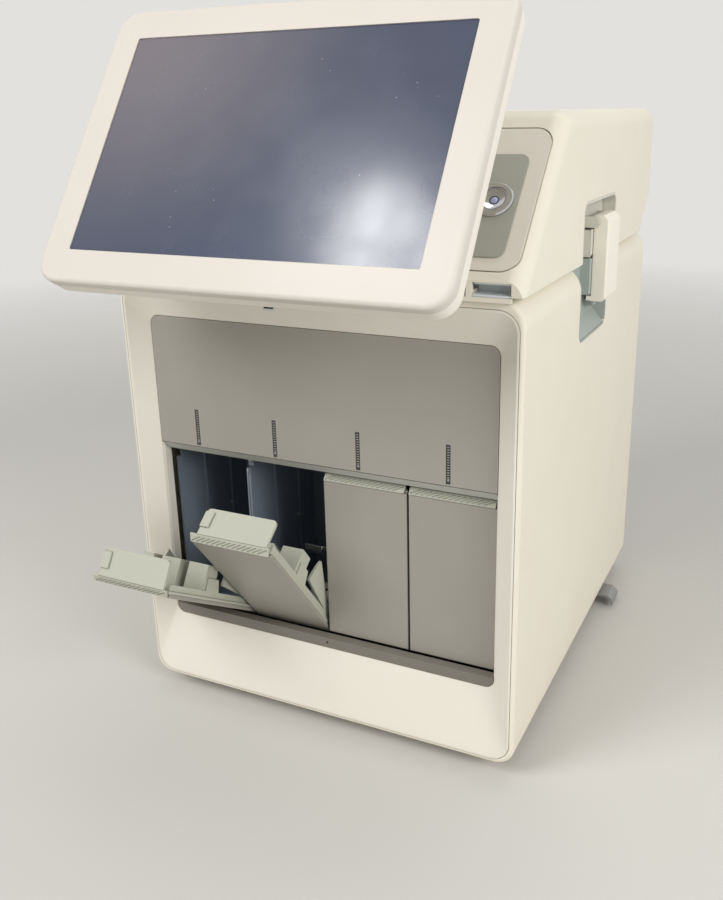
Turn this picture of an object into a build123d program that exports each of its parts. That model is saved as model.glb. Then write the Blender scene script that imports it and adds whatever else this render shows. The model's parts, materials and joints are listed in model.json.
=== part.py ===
from build123d import *
import math
import os

# Benchtop real-time PCR instrument: a four-module analyser below, a wedge-shaped
# controller clipped on top of it, and a tilting touch display on an arm.
# Millimetres. +Z is up, +X is the user's right, the front faces -Y.
# The origin is on the bench, at the centre of the whole object's box.

# Lower unit casing
case_width = 300.0
case_depth = 357.0
case_height = 323.0
foot_height = 12.0
shell_wall = 3.0
case_top_corner = 18.0
case_bottom_corner = 14.0
case_front_round = 3.0
case_rear_round = 5.0

# Dished front bezel and the opening in it
bezel_gap = 0.3
bezel_depth = 14.0
bezel_top_lip = 7.0
bezel_dish = 10.0
bezel_face_rim = 1.5
bezel_corner = 14.0
opening_width = 264.4
opening_bottom = 52.0
opening_top_margin = 31.2
opening_corner = 7.0
ledge_width = 3.5
ledge_thickness = 3.0

# Module doors: four in a row, hinged near their bottom edges
door_count = 4
door_pitch = 65.4
door_gap = 1.5
door_height = 125.0
door_bottom = 61.0
door_setback = 8.0
door_skin = 2.5
door_wall_depth = 9.0
door_axis_in = 7.0
door_axis_up = 5.0
door_open_deg = 58.0
door_2_open_deg = 38.0
door_pin_radius = 1.5
door_boss_radius = 3.8
door_liner_inset = 2.0
door_liner_wall = 2.0
door_liner_low = 10.0
door_liner_margin = 0.5
cheek_low = 8.0
cap_strip_height = 4.6
cap_strip_rise = 4.0
cap_strip_lean = 3.4
cap_strip_depth = 4.6
cap_strip_short = 2.2
cap_edge = 0.4
cap_groove_count = 14
cap_groove_pitch = 4.05
cap_groove_size = (8.2, 0.9)
cap_groove_deg = 27.0
cap_groove_depth = 0.4
flange_reach = 24.5
flange_width = 54.8
flange_shift = 0.6
flange_thickness = 2.0
flange_seam_in = 3.95
flange_seam = 0.4
flange_tab_size = (6.7, 11.5)
flange_tab_raise = 1.5
flange_corner = 3.0
sector_radius = 53.0
sector_angles = (8.0, 29.0)
cheek_tab_reach = 18.0
cheek_tab_span = (64.0, 77.0)
finger_width = 16.5
finger_pitch = 24.0
finger_count = 3
finger_span = (66.0, 80.0)
finger_reach = 27.0
header_gap = 2.6

# Upper fascia, its bevelled lower edge, the sill and the status windows
fascia_bottom = 195.4
fascia_thickness = 4.0
fascia_flange = 4.5
flange_plate = 2.0
status_width = 3.2
status_height = 27.2
status_bottom = 196.8
status_depth = 1.6
sill_height = 8.6
sill_setback = 1.2
sill_pinhole = 0.9
jamb_inset = 0.9
jamb_depth = 9.0

# Module bays behind the doors, and what drives a cartridge in them
bay_side_gap = 0.2
bay_wall = 1.5
bay_depth = 85.0
bay_setback = 10.0
bay_wall_reach = 5.2
bay_floor_drop = 5.0
bay_roof_rise = 3.0
bay_rib_ins = (28.0, 62.0)
drive_axis_in = 55.0
drive_radius = 12.0
drive_hub_radius = 8.0
drive_rise = 1.0
drive_disc = 4.0
drive_dog_height = 2.0
drive_hub_length = 4.0
drive_clearance = 0.6
shaft_radius = 2.5
running_fit = 0.05
valve_motor_size = (36.0, 36.0, 30.0)
valve_shaft_grip = 3.5
plunger_radius = 3.5
plunger_tip_drop = 8.0
plunger_travel = 38.0
carriage_size = (24.0, 40.0, 12.0)
carriage_rise = 34.0
plunger_motor_size = (28.0, 28.0, 30.0)
plunger_motor_back = 26.0
screw_radius = 2.5
screw_over = 8.0
thermal_block_size = (40.0, 30.0, 60.0)
thermal_block_up = 25.0
tube_slot = (12.0, 42.0)
catch_up = 58.8
catch_in = 14.0
catch_sheet = 2.2
catch_arm_width = 8.0
catch_head_x = 15.0
catch_head_width = 14.0
catch_head_length = 9.0
catch_head_drop = 6.5

# Rack, base and rear of the lower unit
rack_sheet = 2.0
rack_top = 200.0
rack_depth = 125.0
rack_hole_clearance = 4.0
base_sheet = 2.0
rear_opening_width = 236.0
rear_opening_bottom = 22.0
rear_opening_height = 258.0
rear_panel_thickness = 2.0
rear_panel_lap = 8.0
vent_slot = (3.0, 36.0)
vent_pitch = 7.0
vent_count = 12
vent_x = 62.0
vent_low_z = 150.0
vent_high_z = 200.0
fan_size = 80.0
fan_depth = 25.0
fan_bore = 37.5
fan_blade_tip = 36.0
fan_hub = 14.0
fan_blade_count = 7
fan_blade_sheet = 2.0
fan_blade_chord = 15.0
fan_blade_pitch_deg = 40.0
fan_strut = 4.0
fan_spindle = 2.0
fan_x = -62.0
fan_up = 205.0
guard_thickness = 1.5
guard_ring_count = 4
guard_inner = 9.0
guard_ring_pitch = 9.0
guard_wire = 2.0
guard_screw_spread = 71.5
inlet_x = 84.0
inlet_up = 62.0
inlet_flange = (34.0, 60.0, 2.0)
inlet_body = (29.0, 54.0, 24.0)
inlet_socket = (24.6, 17.0, 14.0)
blade_size = (2.0, 4.0)
blade_spread = 7.0
blade_rise = 2.0
blade_sunk = 5.0
rocker_size = (13.0, 18.0, 9.0)
rocker_swing_deg = 16.0
rocker_gap = 0.6
rocker_pin_radius = 1.5
rocker_body = 4.0
rocker_face = 3.2
rocker_sunk = 3.0
rocker_end_gap = 1.6
socket_block = (17.0, 22.0, 14.5)
socket_mouth = (12.4, 12.0, 10.0)
socket_count = 2
socket_first_x = 8.0
socket_pitch = 22.0
board_size = (60.0, 90.0)
board_sheet = 1.6
board_standoff = 18.0
board_back_gap = 4.0
board_post_in = 4.0
board_post_radius = 2.5
large_chip = (18.0, 18.0)
small_chip = (9.0, 12.0)
chip_height = 2.2
supply_size = (90.0, 150.0, 40.0)
supply_x = -78.0
supply_slot_length = 80.0
supply_slot_width = 3.0
supply_slot_depth = 1.0
supply_slot_pitch = 9.0
supply_slot_count = 8
foot_radius = 11.0
foot_inset_x = 43.0
foot_inset_front = 30.0
foot_inset_rear = 28.0
tab_width = 22.0
tab_reach = 9.5
tab_drop = 7.0
tab_sheet = 2.0
tab_root = 30.0
tab_bend = 5.0
tab_back = 276.0
screw_head_radius = 3.2
screw_head_height = 1.8
screw_shank_radius = 1.6
screw_hole_radius = 1.75
screw_length = 12.0

# Controller on top: a wedge with a sloped front
top_gap = 1.0
top_height = 101.8
top_front_reach = 4.0
top_rear_reach = 369.0
top_slope_deg = 42.0
top_nose_height = 10.3
top_front_round = 14.0
top_rear_round = 16.0
top_rear_low_round = 10.0
top_rear_rise = 26.0
top_rear_tuck = 28.0
top_side_round = 11.0
nose_lip_drop = 2.5
nose_lip_sheet = 3.2
top_wall = 3.0
top_plate_inset = 18.0
top_plate_lap = 4.0
top_plate_flange = 2.0
panel_half_width = 144.0
panel_low = 6.0
panel_length = 105.5
panel_corner = 12.0
panel_thickness = 1.5
panel_groove = 0.8
plate_half_width = 133.2
plate_low = 9.5
plate_length = 74.5
plate_corner = 6.0
plate_thickness = 1.2
button_x = 118.3
button_up_panel = 49.5
button_ring_radius = 12.2
button_ring_height = 2.0
button_cap_radius = 8.5
button_barrel_radius = 9.8
button_barrel_floor = 2.0
button_floor_gap = 1.5
button_travel = 2.5
button_cap_length = 9.0
button_dish_radius = 7.0
button_dish_depth = 1.6
button_cap_sunk = 0.6
button_slide_gap = 0.1
slot_half_width = 142.0
slot_bottom = 0.5
slot_height = 8.5
slot_rib_width = 3.7
slot_rib_pitch = 58.0
slot_rib_pairs = 2
slot_depth = 13.0
slot_liner = 1.5
computer_board_size = (150.0, 110.0)
computer_board_y = 190.0
computer_standoff = 8.0
computer_heatsink = 14.0
heatsink_side = 40.0
heatsink_off = 25.0
memory_size = (30.0, 12.0)
memory_off = 40.0
memory_apart = 40.0
standoff_in = 5.0
standoff_radius = 3.0

# Touch display and its arm
display_width = 275.0
display_height = 193.0
display_tilt_deg = 34.3
display_centre_ahead = 34.9
display_centre_over = 89.6
display_corner = 15.0
display_frame_depth = 7.0
display_edge_round = 2.5
display_back_depth = 14.0
display_back_round = 6.0
display_wall = 2.5
display_parting = 0.5
screen_width = 233.8
screen_height = 150.3
glass_lap = 4.0
glass_recess = 0.8
glass_thickness = 1.8
lcd_thickness = 4.0
hinge_below_centre = 10.0
hinge_behind_cover = 14.0
hinge_lug_radius = 9.0
hinge_lug_width = 9.0
hinge_barrel_half = 28.0
hinge_pin_radius = 3.0
hinge_side_gap = 0.4
hinge_pin_grip = 12.0
lcd_gap = 1.0
arm_foot_half = 26.0
arm_foot_length = 60.0
arm_foot_thickness = 5.0
arm_foot_low = 14.0
arm_neck_thickness = 15.0
arm_neck_half = 17.0
arm_screw_spread = (44.0, 46.0)

# Side latches that hold the controller down on the analyser
well_front = 128.0
well_upper_rear = 226.0
well_lower_rear = 209.0
well_drop = 56.0
well_top = 42.0
well_depth = 10.0
well_liner = 2.0
well_corner = 9.0
well_ramp = 12.0
latch_front = 169.4
latch_width = 37.0
latch_drop = 32.0
latch_length = 62.5
latch_proud = 8.2
latch_thickness = 11.0
latch_axis_down = 4.7
latch_axis_in = 2.5
latch_knuckle_radius = 4.5
latch_pin_radius = 1.5
latch_ear = 3.0
latch_ear_gap = 0.4
latch_bevel = 2.7
latch_top_bevel = 4.5
latch_hook = 3.5
latch_hook_height = 3.5
keeper_x = 147.0
keeper_height = 4.5
keeper_gap = 0.5
keeper_inset = 9.0
latch_pad_ahead = 6.0
latch_pad_clearance = 1.0
latch_pad_gap = 2.0

# Places worked out from the sizes above
base_z = foot_height
case_top = base_z + case_height
half_width = case_width / 2
tilt = math.radians(display_tilt_deg)
display_low_y = -display_centre_ahead - display_height / 2 * math.sin(tilt)
display_low_y += display_edge_round * (math.sin(tilt) + math.cos(tilt) - 1)
front_y = -(top_rear_reach + display_low_y) / 2
rear_y = front_y + case_depth
opening_plane_y = front_y + bezel_dish
opening_height = case_height - opening_bottom - opening_top_margin
door_face_y = opening_plane_y + door_setback
door_axis_y = door_face_y + door_axis_in
door_base_z = base_z + door_bottom
door_axis_z = door_base_z + door_axis_up
door_top_z = door_base_z + door_height
door_width = door_pitch - door_gap
door_xs = [(n - (door_count - 1) / 2) * door_pitch for n in range(door_count)]
door_rest_degs = [door_open_deg, door_2_open_deg, 0.0, 0.0]
os.makedirs("parts", exist_ok=True)


def facing(y):
    # A plane across the front: X to the right, Z up, extruded backwards by minus amounts
    return Plane(origin=(0, y, 0), x_dir=(1, 0, 0), z_dir=(0, -1, 0))


def side_on(x):
    # A plane seen from the right: Y to the right, Z up, extruded to +X by plus amounts
    return Plane(origin=(x, 0, 0), x_dir=(0, 1, 0), z_dir=(1, 0, 0))


def save(piece, name):
    piece.part.label = name
    export_step(piece.part, f"parts/{name}.step")


def polar_from(angle):
    # A point of the door sector's rim, at an angle above the straight-back direction
    reach = Vector(sector_radius, 0).rotate(Axis.Z, angle)
    return (door_axis_y + reach.X, door_axis_z + reach.Y)


def opened(piece, x, angle):
    # A door piece built closed, turned to where it rests about its hinge line
    axis = Axis((x, door_axis_y, door_axis_z), (1, 0, 0))
    return piece.part.rotate(axis, angle)


# Outer shell: a rounded sleeve with a rear wall, open at the front
def case_section(inset, top_z, bottom_z):
    corner_top = max(case_top_corner - inset, 1.0)
    corner_bottom = max(case_bottom_corner - inset, 1.0)
    with BuildSketch() as section:
        with Locations((0, (top_z + bottom_z) / 2)):
            Rectangle(case_width - 2 * inset, top_z - bottom_z)
        fillet(section.vertices().group_by(Axis.Y)[-1], corner_top)
        fillet(section.vertices().group_by(Axis.Y)[0], corner_bottom)
    return section.sketch


ledge_y = front_y + bezel_depth
cavity_y = ledge_y + ledge_thickness
bezel_top_z = case_top - bezel_top_lip
bezel_bottom_z = base_z + shell_wall
bezel_half_width = half_width - shell_wall - bezel_gap
bezel_mid_z = (bezel_top_z + bezel_bottom_z) / 2
bezel_height = bezel_top_z - bezel_bottom_z - 2 * bezel_gap
rear_opening_mid_z = base_z + rear_opening_bottom + rear_opening_height / 2
rear_wall_y = rear_y - shell_wall
panel_y = rear_wall_y - rear_panel_thickness
well_rear_ys = {"lower": front_y + well_lower_rear, "upper": front_y + well_upper_rear}
well_front_y = front_y + well_front
well_bottom_z = case_top - well_drop
well_top_z = case_top + top_gap + well_top
well_floor_x = half_width - well_depth


def well_cut(side, low, high, rear, upper):
    # The block that a latch well takes out of one side, rounded at its closed end
    inner = well_floor_x - well_liner
    with BuildPart() as block:
        with BuildSketch(side_on(min(side * inner, side * half_width))) as outline:
            with Locations(((well_front_y + rear) / 2, (low + high) / 2)):
                Rectangle(rear - well_front_y, high - low)
            fillet(outline.vertices().group_by(Axis.Y)[-1 if upper else 0], well_corner)
        extrude(amount=half_width - inner)
    return block.part


with BuildPart() as case_form:
    with BuildSketch(facing(front_y)):
        add(case_section(0, case_top, base_z))
    extrude(amount=-case_depth)
    fillet(case_form.faces().sort_by(Axis.Y)[0].edges(), case_front_round)
    fillet(case_form.faces().sort_by(Axis.Y)[-1].edges(), case_rear_round)

with BuildPart() as outer_shell:
    add(case_form.part)
    with BuildSketch(facing(front_y)):
        with Locations((0, (bezel_top_z + bezel_bottom_z) / 2)):
            RectangleRounded(case_width - 2 * shell_wall, bezel_top_z - bezel_bottom_z, bezel_corner)
    extrude(amount=-bezel_depth, mode=Mode.SUBTRACT)
    with BuildSketch(facing(ledge_y)):
        with Locations((0, (bezel_top_z + bezel_bottom_z) / 2)):
            RectangleRounded(
                case_width - 2 * shell_wall - 2 * ledge_width,
                bezel_top_z - bezel_bottom_z - 2 * ledge_width,
                bezel_corner - ledge_width,
            )
    extrude(amount=-ledge_thickness, mode=Mode.SUBTRACT)
    with BuildSketch(facing(cavity_y)):
        add(case_section(shell_wall, case_top - shell_wall, base_z + shell_wall))
    extrude(amount=-(rear_wall_y - cavity_y), mode=Mode.SUBTRACT)
    with BuildSketch(facing(rear_wall_y)):
        with Locations((0, rear_opening_mid_z)):
            RectangleRounded(rear_opening_width, rear_opening_height, 6)
    extrude(amount=-shell_wall, mode=Mode.SUBTRACT)
    for side in (-1, 1):
        add(
            well_cut(side, well_bottom_z, case_top + 1, well_rear_ys["lower"], upper=False),
            mode=Mode.SUBTRACT,
        )
save(outer_shell, "outer_shell")

# Front bezel: a picture frame whose faces slope back to the opening
opening_mid_z = base_z + opening_bottom + opening_height / 2
opening_top_z = base_z + opening_bottom + opening_height
fascia_bottom_z = base_z + fascia_bottom
sill_top_z = base_z + opening_bottom + sill_height
jamb_x = opening_width / 2 - jamb_inset
jamb_back_y = opening_plane_y + jamb_depth
with BuildPart() as front_bezel:
    with BuildSketch(facing(front_y)):
        with Locations((0, bezel_mid_z)):
            RectangleRounded(2 * bezel_half_width, bezel_height, bezel_corner - bezel_gap)
    extrude(amount=-bezel_depth)
    with BuildSketch(facing(front_y)):
        with Locations((0, bezel_mid_z)):
            RectangleRounded(
                2 * (bezel_half_width - bezel_face_rim),
                bezel_height - 2 * bezel_face_rim,
                bezel_corner - bezel_gap - bezel_face_rim,
            )
    with BuildSketch(facing(opening_plane_y)):
        with Locations((0, opening_mid_z)):
            RectangleRounded(opening_width, opening_height, opening_corner)
    loft(ruled=True, mode=Mode.SUBTRACT)
    with BuildSketch(facing(opening_plane_y)):
        with Locations((0, opening_mid_z)):
            RectangleRounded(opening_width, opening_height, opening_corner)
    extrude(amount=-(bezel_depth - bezel_dish), mode=Mode.SUBTRACT)
    for side in (-1, 1):
        with BuildSketch(Plane.XY.offset(sill_top_z)):
            with BuildLine():
                Polyline(
                    (side * (opening_width / 2 + 1.8), opening_plane_y + 2),
                    (side * opening_width / 2, opening_plane_y + 0.2),
                    (side * jamb_x, opening_plane_y + jamb_inset + 1),
                    (side * jamb_x, jamb_back_y),
                    (side * (opening_width / 2 + 1.8), jamb_back_y),
                    close=True,
                )
            make_face()
        extrude(amount=fascia_bottom_z - sill_top_z)
save(front_bezel, "front_bezel")

# Upper fascia with its bevelled header rail over the doors
fascia_half_width = opening_width / 2 - bezel_gap
fascia_top_z = opening_top_z - bezel_gap
rail_z = door_top_z + header_gap
status_z = base_z + status_bottom + status_height / 2
with BuildPart() as upper_fascia:
    with BuildSketch(facing(opening_plane_y)) as fascia_outline:
        with Locations((0, (fascia_top_z + fascia_bottom_z) / 2)):
            Rectangle(2 * fascia_half_width, fascia_top_z - fascia_bottom_z)
        fillet(fascia_outline.vertices().group_by(Axis.Y)[-1], opening_corner - bezel_gap)
    extrude(amount=-fascia_thickness)
    with BuildSketch(facing(ledge_y)):
        flange_top_z = fascia_top_z + fascia_flange
        with Locations((0, (flange_top_z + fascia_bottom_z) / 2)):
            Rectangle(2 * (fascia_half_width + fascia_flange), flange_top_z - fascia_bottom_z)
    extrude(amount=-flange_plate)
    with BuildSketch(side_on(-(jamb_x - bezel_gap))):
        with BuildLine():
            Polyline(
                (opening_plane_y, fascia_bottom_z),
                (door_face_y - 1.5, rail_z),
                (door_face_y + 2, rail_z),
                (door_face_y + 2, fascia_bottom_z + 3),
                (opening_plane_y, fascia_bottom_z + 3),
                close=True,
            )
        make_face()
    extrude(amount=2 * (jamb_x - bezel_gap))
    with BuildSketch(facing(opening_plane_y)):
        with Locations(*[(x, status_z) for x in door_xs]):
            Rectangle(status_width, status_height)
    extrude(amount=-status_depth, mode=Mode.SUBTRACT)
save(upper_fascia, "upper_fascia")

# Status windows: one narrow light bar over each door
with BuildPart() as status_light_bars:
    with BuildSketch(facing(opening_plane_y + status_depth)):
        with Locations(*[(x, status_z) for x in door_xs]):
            Rectangle(status_width - bezel_gap, status_height - bezel_gap)
    extrude(amount=status_depth - 0.3)
save(status_light_bars, "status_light_bars")

# Sill strip under the doors
with BuildPart() as sill_strip:
    with BuildSketch(facing(opening_plane_y)) as sill_outline:
        with Locations((0, sill_top_z - sill_height / 2)):
            Rectangle(2 * fascia_half_width, sill_height - 2 * bezel_gap)
        fillet(sill_outline.vertices().group_by(Axis.Y)[0], opening_corner - bezel_gap)
    extrude(amount=-(door_setback - sill_setback))
    with BuildSketch(facing(ledge_y)):
        with Locations((0, sill_top_z - bezel_gap - (sill_height + fascia_flange) / 2)):
            Rectangle(2 * fascia_half_width, sill_height + fascia_flange)
    extrude(amount=-flange_plate)
    with Locations(facing(opening_plane_y)):
        with Locations((3.0, sill_top_z - sill_height / 2)):
            Hole(sill_pinhole, depth=3)
save(sill_strip, "sill_strip")

# Module bays: open-fronted black chambers with ears for the door pins
bay_half = door_pitch / 2 - bay_side_gap
bay_inner = bay_half - bay_wall
bay_front_y = door_face_y + bay_setback
bay_back_y = bay_front_y + bay_depth
bay_floor_z = door_base_z - bay_floor_drop
bay_roof_z = door_top_z + bay_roof_rise
bay_mid_z = (bay_floor_z + bay_roof_z) / 2
drive_y = door_face_y + drive_axis_in
wall_front_y = door_face_y + bay_wall_reach
wall_front_top_z = door_top_z - cap_strip_height - header_gap
for n, x in enumerate(door_xs, 1):
    with BuildPart() as module_bay:
        with BuildSketch(facing(bay_front_y)):
            with Locations((x, bay_mid_z)):
                Rectangle(2 * bay_half, bay_roof_z - bay_floor_z + 2 * bay_wall)
        extrude(amount=-(bay_depth + bay_wall))
        with BuildSketch(facing(bay_front_y)):
            with Locations((x, bay_mid_z)):
                Rectangle(2 * bay_inner, bay_roof_z - bay_floor_z)
        extrude(amount=-bay_depth, mode=Mode.SUBTRACT)
        for side in (-1, 1):
            inner_x = x + side * bay_inner
            low_x = min(inner_x, inner_x + side * bay_wall)
            with BuildSketch(side_on(low_x)):
                with Locations((door_axis_y, door_axis_z)):
                    Circle(door_boss_radius)
                with Locations(((door_axis_y + bay_front_y + 1) / 2, door_axis_z)):
                    Rectangle(bay_front_y + 1 - door_axis_y, 2 * door_boss_radius)
                with Locations((door_axis_y, door_axis_z)):
                    Circle(door_pin_radius + running_fit, mode=Mode.SUBTRACT)
                wall_mid_y = (wall_front_y + bay_front_y + 1) / 2
                with Locations((wall_mid_y, (door_axis_z + wall_front_top_z) / 2)):
                    Rectangle(bay_front_y + 1 - wall_front_y, wall_front_top_z - door_axis_z)
                with Locations((door_axis_y, door_axis_z)):
                    Circle(door_pin_radius + running_fit, mode=Mode.SUBTRACT)
            extrude(amount=bay_wall)
            for rib_in in bay_rib_ins:
                with BuildSketch(Plane.XY.offset(bay_floor_z)):
                    with Locations((inner_x - side * 0.7, bay_front_y + rib_in)):
                        Rectangle(1.8, 3.0)
                extrude(amount=bay_roof_z - bay_floor_z)
        with BuildSketch(Plane.XY.offset(bay_floor_z - bay_wall)):
            with Locations((x, drive_y)):
                Circle(drive_radius + drive_clearance)
        extrude(amount=bay_wall, mode=Mode.SUBTRACT)
        with BuildSketch(Plane.XY.offset(bay_roof_z)):
            with Locations((x, drive_y)):
                Circle(plunger_radius + running_fit)
        extrude(amount=bay_wall, mode=Mode.SUBTRACT)
        with BuildSketch(facing(bay_back_y)):
            with Locations((x, door_base_z + thermal_block_up + thermal_block_size[2] / 2)):
                Rectangle(*tube_slot)
        extrude(amount=-bay_wall, mode=Mode.SUBTRACT)
    save(module_bay, f"module_bay_{n}")

# Door hinge pins: one at each end and one shared by each pair of neighbours
pin_reach = bay_side_gap + bay_wall + 4.0
pin_xs = [(n - door_count / 2) * door_pitch for n in range(door_count + 1)]
with BuildPart() as door_hinge_pins:
    for n, x in enumerate(pin_xs):
        left = x if n == 0 else x - pin_reach
        right = x if n == door_count else x + pin_reach
        with BuildSketch(side_on(left)):
            with Locations((door_axis_y, door_axis_z)):
                Circle(door_pin_radius)
        extrude(amount=right - left)
save(door_hinge_pins, "door_hinge_pins")

# Doors: a grey skin on a cream liner, built closed and turned to where they rest
cheek_x = door_width / 2 - door_liner_inset
skin_height = door_height - cap_strip_height - 0.3
liner_y = door_face_y + door_skin
finger_right = cheek_x - 1.2
for n, x in enumerate(door_xs, 1):
    rest_deg = door_rest_degs[n - 1]
    with BuildPart() as door_panel:
        with BuildSketch(facing(door_face_y)):
            with Locations((x, door_base_z + skin_height / 2)):
                Rectangle(door_width, skin_height)
        extrude(amount=-door_skin)
        chamfer(door_panel.faces().sort_by(Axis.Y)[0].edges(), 0.5)
    turned_panel = opened(door_panel, x, rest_deg)
    turned_panel.label = f"door_panel_{n}"
    export_step(turned_panel, f"parts/door_panel_{n}.step")

    with BuildPart() as door_liner:
        plate_top = door_height - cap_strip_height + 1
        with BuildSketch(facing(liner_y)):
            with Locations((x, door_base_z + (door_liner_low + plate_top) / 2)):
                Rectangle(door_width - 2 * door_liner_margin, plate_top - door_liner_low)
        extrude(amount=-door_liner_wall)
        bevel_low_z = door_top_z - cap_edge - cap_strip_rise
        with BuildSketch(side_on(x - door_width / 2)):
            with BuildLine():
                Polyline(
                    (door_face_y, door_top_z - cap_strip_height),
                    (door_face_y, bevel_low_z),
                    (door_face_y + cap_strip_lean, door_top_z - cap_edge),
                    (door_face_y + cap_strip_lean + cap_edge, door_top_z),
                    (door_face_y + cap_strip_depth, door_top_z),
                    (door_face_y + cap_strip_depth, door_top_z - cap_strip_height),
                    close=True,
                )
            make_face()
        extrude(amount=door_width - cap_strip_short)
        bevel_mid_y = door_face_y + cap_strip_lean / 2
        bevel_plane = Plane(
            origin=(x - cap_strip_short / 2, bevel_mid_y, bevel_low_z + cap_strip_rise / 2),
            x_dir=(1, 0, 0),
            z_dir=(0, -cap_strip_rise, cap_strip_lean),
        )
        with BuildSketch(bevel_plane):
            with GridLocations(cap_groove_pitch, 1, cap_groove_count, 1):
                Rectangle(*cap_groove_size, rotation=cap_groove_deg)
        extrude(amount=-cap_groove_depth, mode=Mode.SUBTRACT)
        flange_x = x + flange_shift
        flange_y = door_face_y + (cap_strip_lean + flange_reach) / 2
        with BuildSketch(Plane.XY.offset(door_top_z - flange_thickness)) as flange:
            with Locations((flange_x, flange_y + cap_edge)):
                Rectangle(flange_width, flange_reach - cap_strip_lean - 2 * cap_edge)
            fillet(flange.vertices().group_by(Axis.Y)[-1], flange_corner)
        extrude(amount=flange_thickness)
        with BuildSketch(Plane.XY.offset(door_top_z)):
            with Locations((flange_x, door_face_y + flange_seam_in + flange_seam / 2)):
                Rectangle(flange_width, flange_seam)
        extrude(amount=-flange_seam, mode=Mode.SUBTRACT)
        with BuildSketch(Plane.XY.offset(door_top_z)):
            flange_tab_y = door_face_y + flange_reach - flange_corner - flange_tab_size[1] / 2
            with Locations((flange_x - (flange_width - flange_tab_size[0]) / 2, flange_tab_y)):
                Rectangle(*flange_tab_size)
        extrude(amount=flange_tab_raise)
        for side in (-1, 1):
            low_x = x + side * cheek_x - (door_liner_wall if side > 0 else 0)
            with BuildSketch(side_on(low_x)):
                wall_mid_y = door_face_y + (door_skin + door_wall_depth) / 2
                with Locations((wall_mid_y, door_base_z + (cheek_low + skin_height) / 2)):
                    Rectangle(door_wall_depth - door_skin, skin_height - cheek_low)
                with BuildLine():
                    Polyline(
                        (liner_y, door_base_z + cheek_tab_span[0] - 6),
                        (door_face_y + cheek_tab_reach, door_base_z + cheek_tab_span[0]),
                        (door_face_y + cheek_tab_reach, door_base_z + cheek_tab_span[1]),
                        (liner_y, door_base_z + cheek_tab_span[1]),
                        close=True,
                    )
                make_face()
                with BuildLine():
                    low_angle, high_angle = sector_angles
                    Line((door_axis_y, door_axis_z), polar_from(90 - low_angle))
                    ThreePointArc(
                        polar_from(90 - low_angle),
                        polar_from(90 - (low_angle + high_angle) / 2),
                        polar_from(90 - high_angle),
                    )
                    Line(polar_from(90 - high_angle), (door_axis_y, door_axis_z))
                make_face()
                with Locations((door_axis_y, door_axis_z)):
                    Circle(door_boss_radius + 0.6)
                with Locations((door_axis_y, door_axis_z)):
                    Circle(door_pin_radius + running_fit, mode=Mode.SUBTRACT)
            extrude(amount=door_liner_wall)
        for k in range(finger_count):
            right = finger_right - k * finger_pitch
            left = max(right - finger_width, -cheek_x + 1)
            with BuildSketch(facing(liner_y)):
                with Locations((x + (left + right) / 2, door_base_z + sum(finger_span) / 2)):
                    Rectangle(right - left, finger_span[1] - finger_span[0])
            extrude(amount=-(finger_reach - door_skin))
    turned_liner = opened(door_liner, x, rest_deg)
    turned_liner.label = f"door_liner_{n}"
    export_step(turned_liner, f"parts/door_liner_{n}.step")

# Base plate inside the shell's floor
plate_bottom_z = base_z + shell_wall
plate_top_z = plate_bottom_z + base_sheet
with BuildPart() as base_plate:
    with BuildSketch(Plane.XY.offset(plate_bottom_z)):
        with Locations((0, (cavity_y + rear_wall_y) / 2)):
            plate_depth = rear_wall_y - cavity_y - 2 * rear_panel_thickness
            Rectangle(2 * (half_width - case_bottom_corner), plate_depth)
    extrude(amount=base_sheet)
save(base_plate, "base_plate")

# Module rack: a shelf on two side plates that carries the four bays
shelf_z = bay_floor_z - bay_wall - rack_sheet
rack_front_y = bay_front_y + 2
rack_half = 2 * door_pitch
with BuildPart() as module_rack:
    with BuildSketch(Plane.XY.offset(shelf_z)):
        with Locations((0, rack_front_y + rack_depth / 2)):
            Rectangle(2 * rack_half, rack_depth)
        with Locations(*[(x, drive_y) for x in door_xs]):
            Circle(drive_radius + rack_hole_clearance, mode=Mode.SUBTRACT)
    extrude(amount=rack_sheet)
    for side in (-1, 1):
        with BuildSketch(Plane.XY.offset(plate_top_z)):
            with Locations((side * (rack_half + rack_sheet / 2), rack_front_y + rack_depth / 2)):
                Rectangle(rack_sheet, rack_depth)
        extrude(amount=base_z + rack_top - plate_top_z)
save(module_rack, "module_rack")

# Cartridge drives: a toothed valve disc on a motor below, a plunger rod on a screw above
motor_top_z = shelf_z
drive_z = bay_floor_z + drive_rise
shaft_top_z = drive_z + valve_shaft_grip
for n, x in enumerate(door_xs, 1):
    with BuildPart() as valve_drive:
        with BuildSketch(Plane.XY.offset(drive_z)):
            with Locations((x, drive_y)):
                Circle(drive_radius)
        extrude(amount=drive_disc)
        with BuildSketch(Plane.XY.offset(drive_z - drive_hub_length)):
            with Locations((x, drive_y)):
                Circle(drive_hub_radius)
        extrude(amount=drive_hub_length)
        with BuildSketch(Plane.XY.offset(drive_z + drive_disc)):
            with Locations((x, drive_y)):
                with PolarLocations(drive_radius - 3, 4):
                    Rectangle(4.0, 2.4)
        extrude(amount=drive_dog_height)
        with Locations(Plane.XY.offset(drive_z + drive_disc)):
            with Locations((x, drive_y)):
                Hole(shaft_radius + running_fit)
    save(valve_drive, f"valve_drive_{n}")

with BuildPart() as valve_motors:
    for x in door_xs:
        with BuildSketch(Plane.XY.offset(motor_top_z - valve_motor_size[2])) as motor_outline:
            with Locations((x, drive_y)):
                Rectangle(valve_motor_size[0], valve_motor_size[1])
            chamfer(motor_outline.vertices(), 4)
        extrude(amount=valve_motor_size[2])
        with BuildSketch(Plane.XY.offset(motor_top_z)):
            with Locations((x, drive_y)):
                Circle(shaft_radius)
        extrude(amount=shaft_top_z - motor_top_z)
save(valve_motors, "valve_motors")

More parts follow.
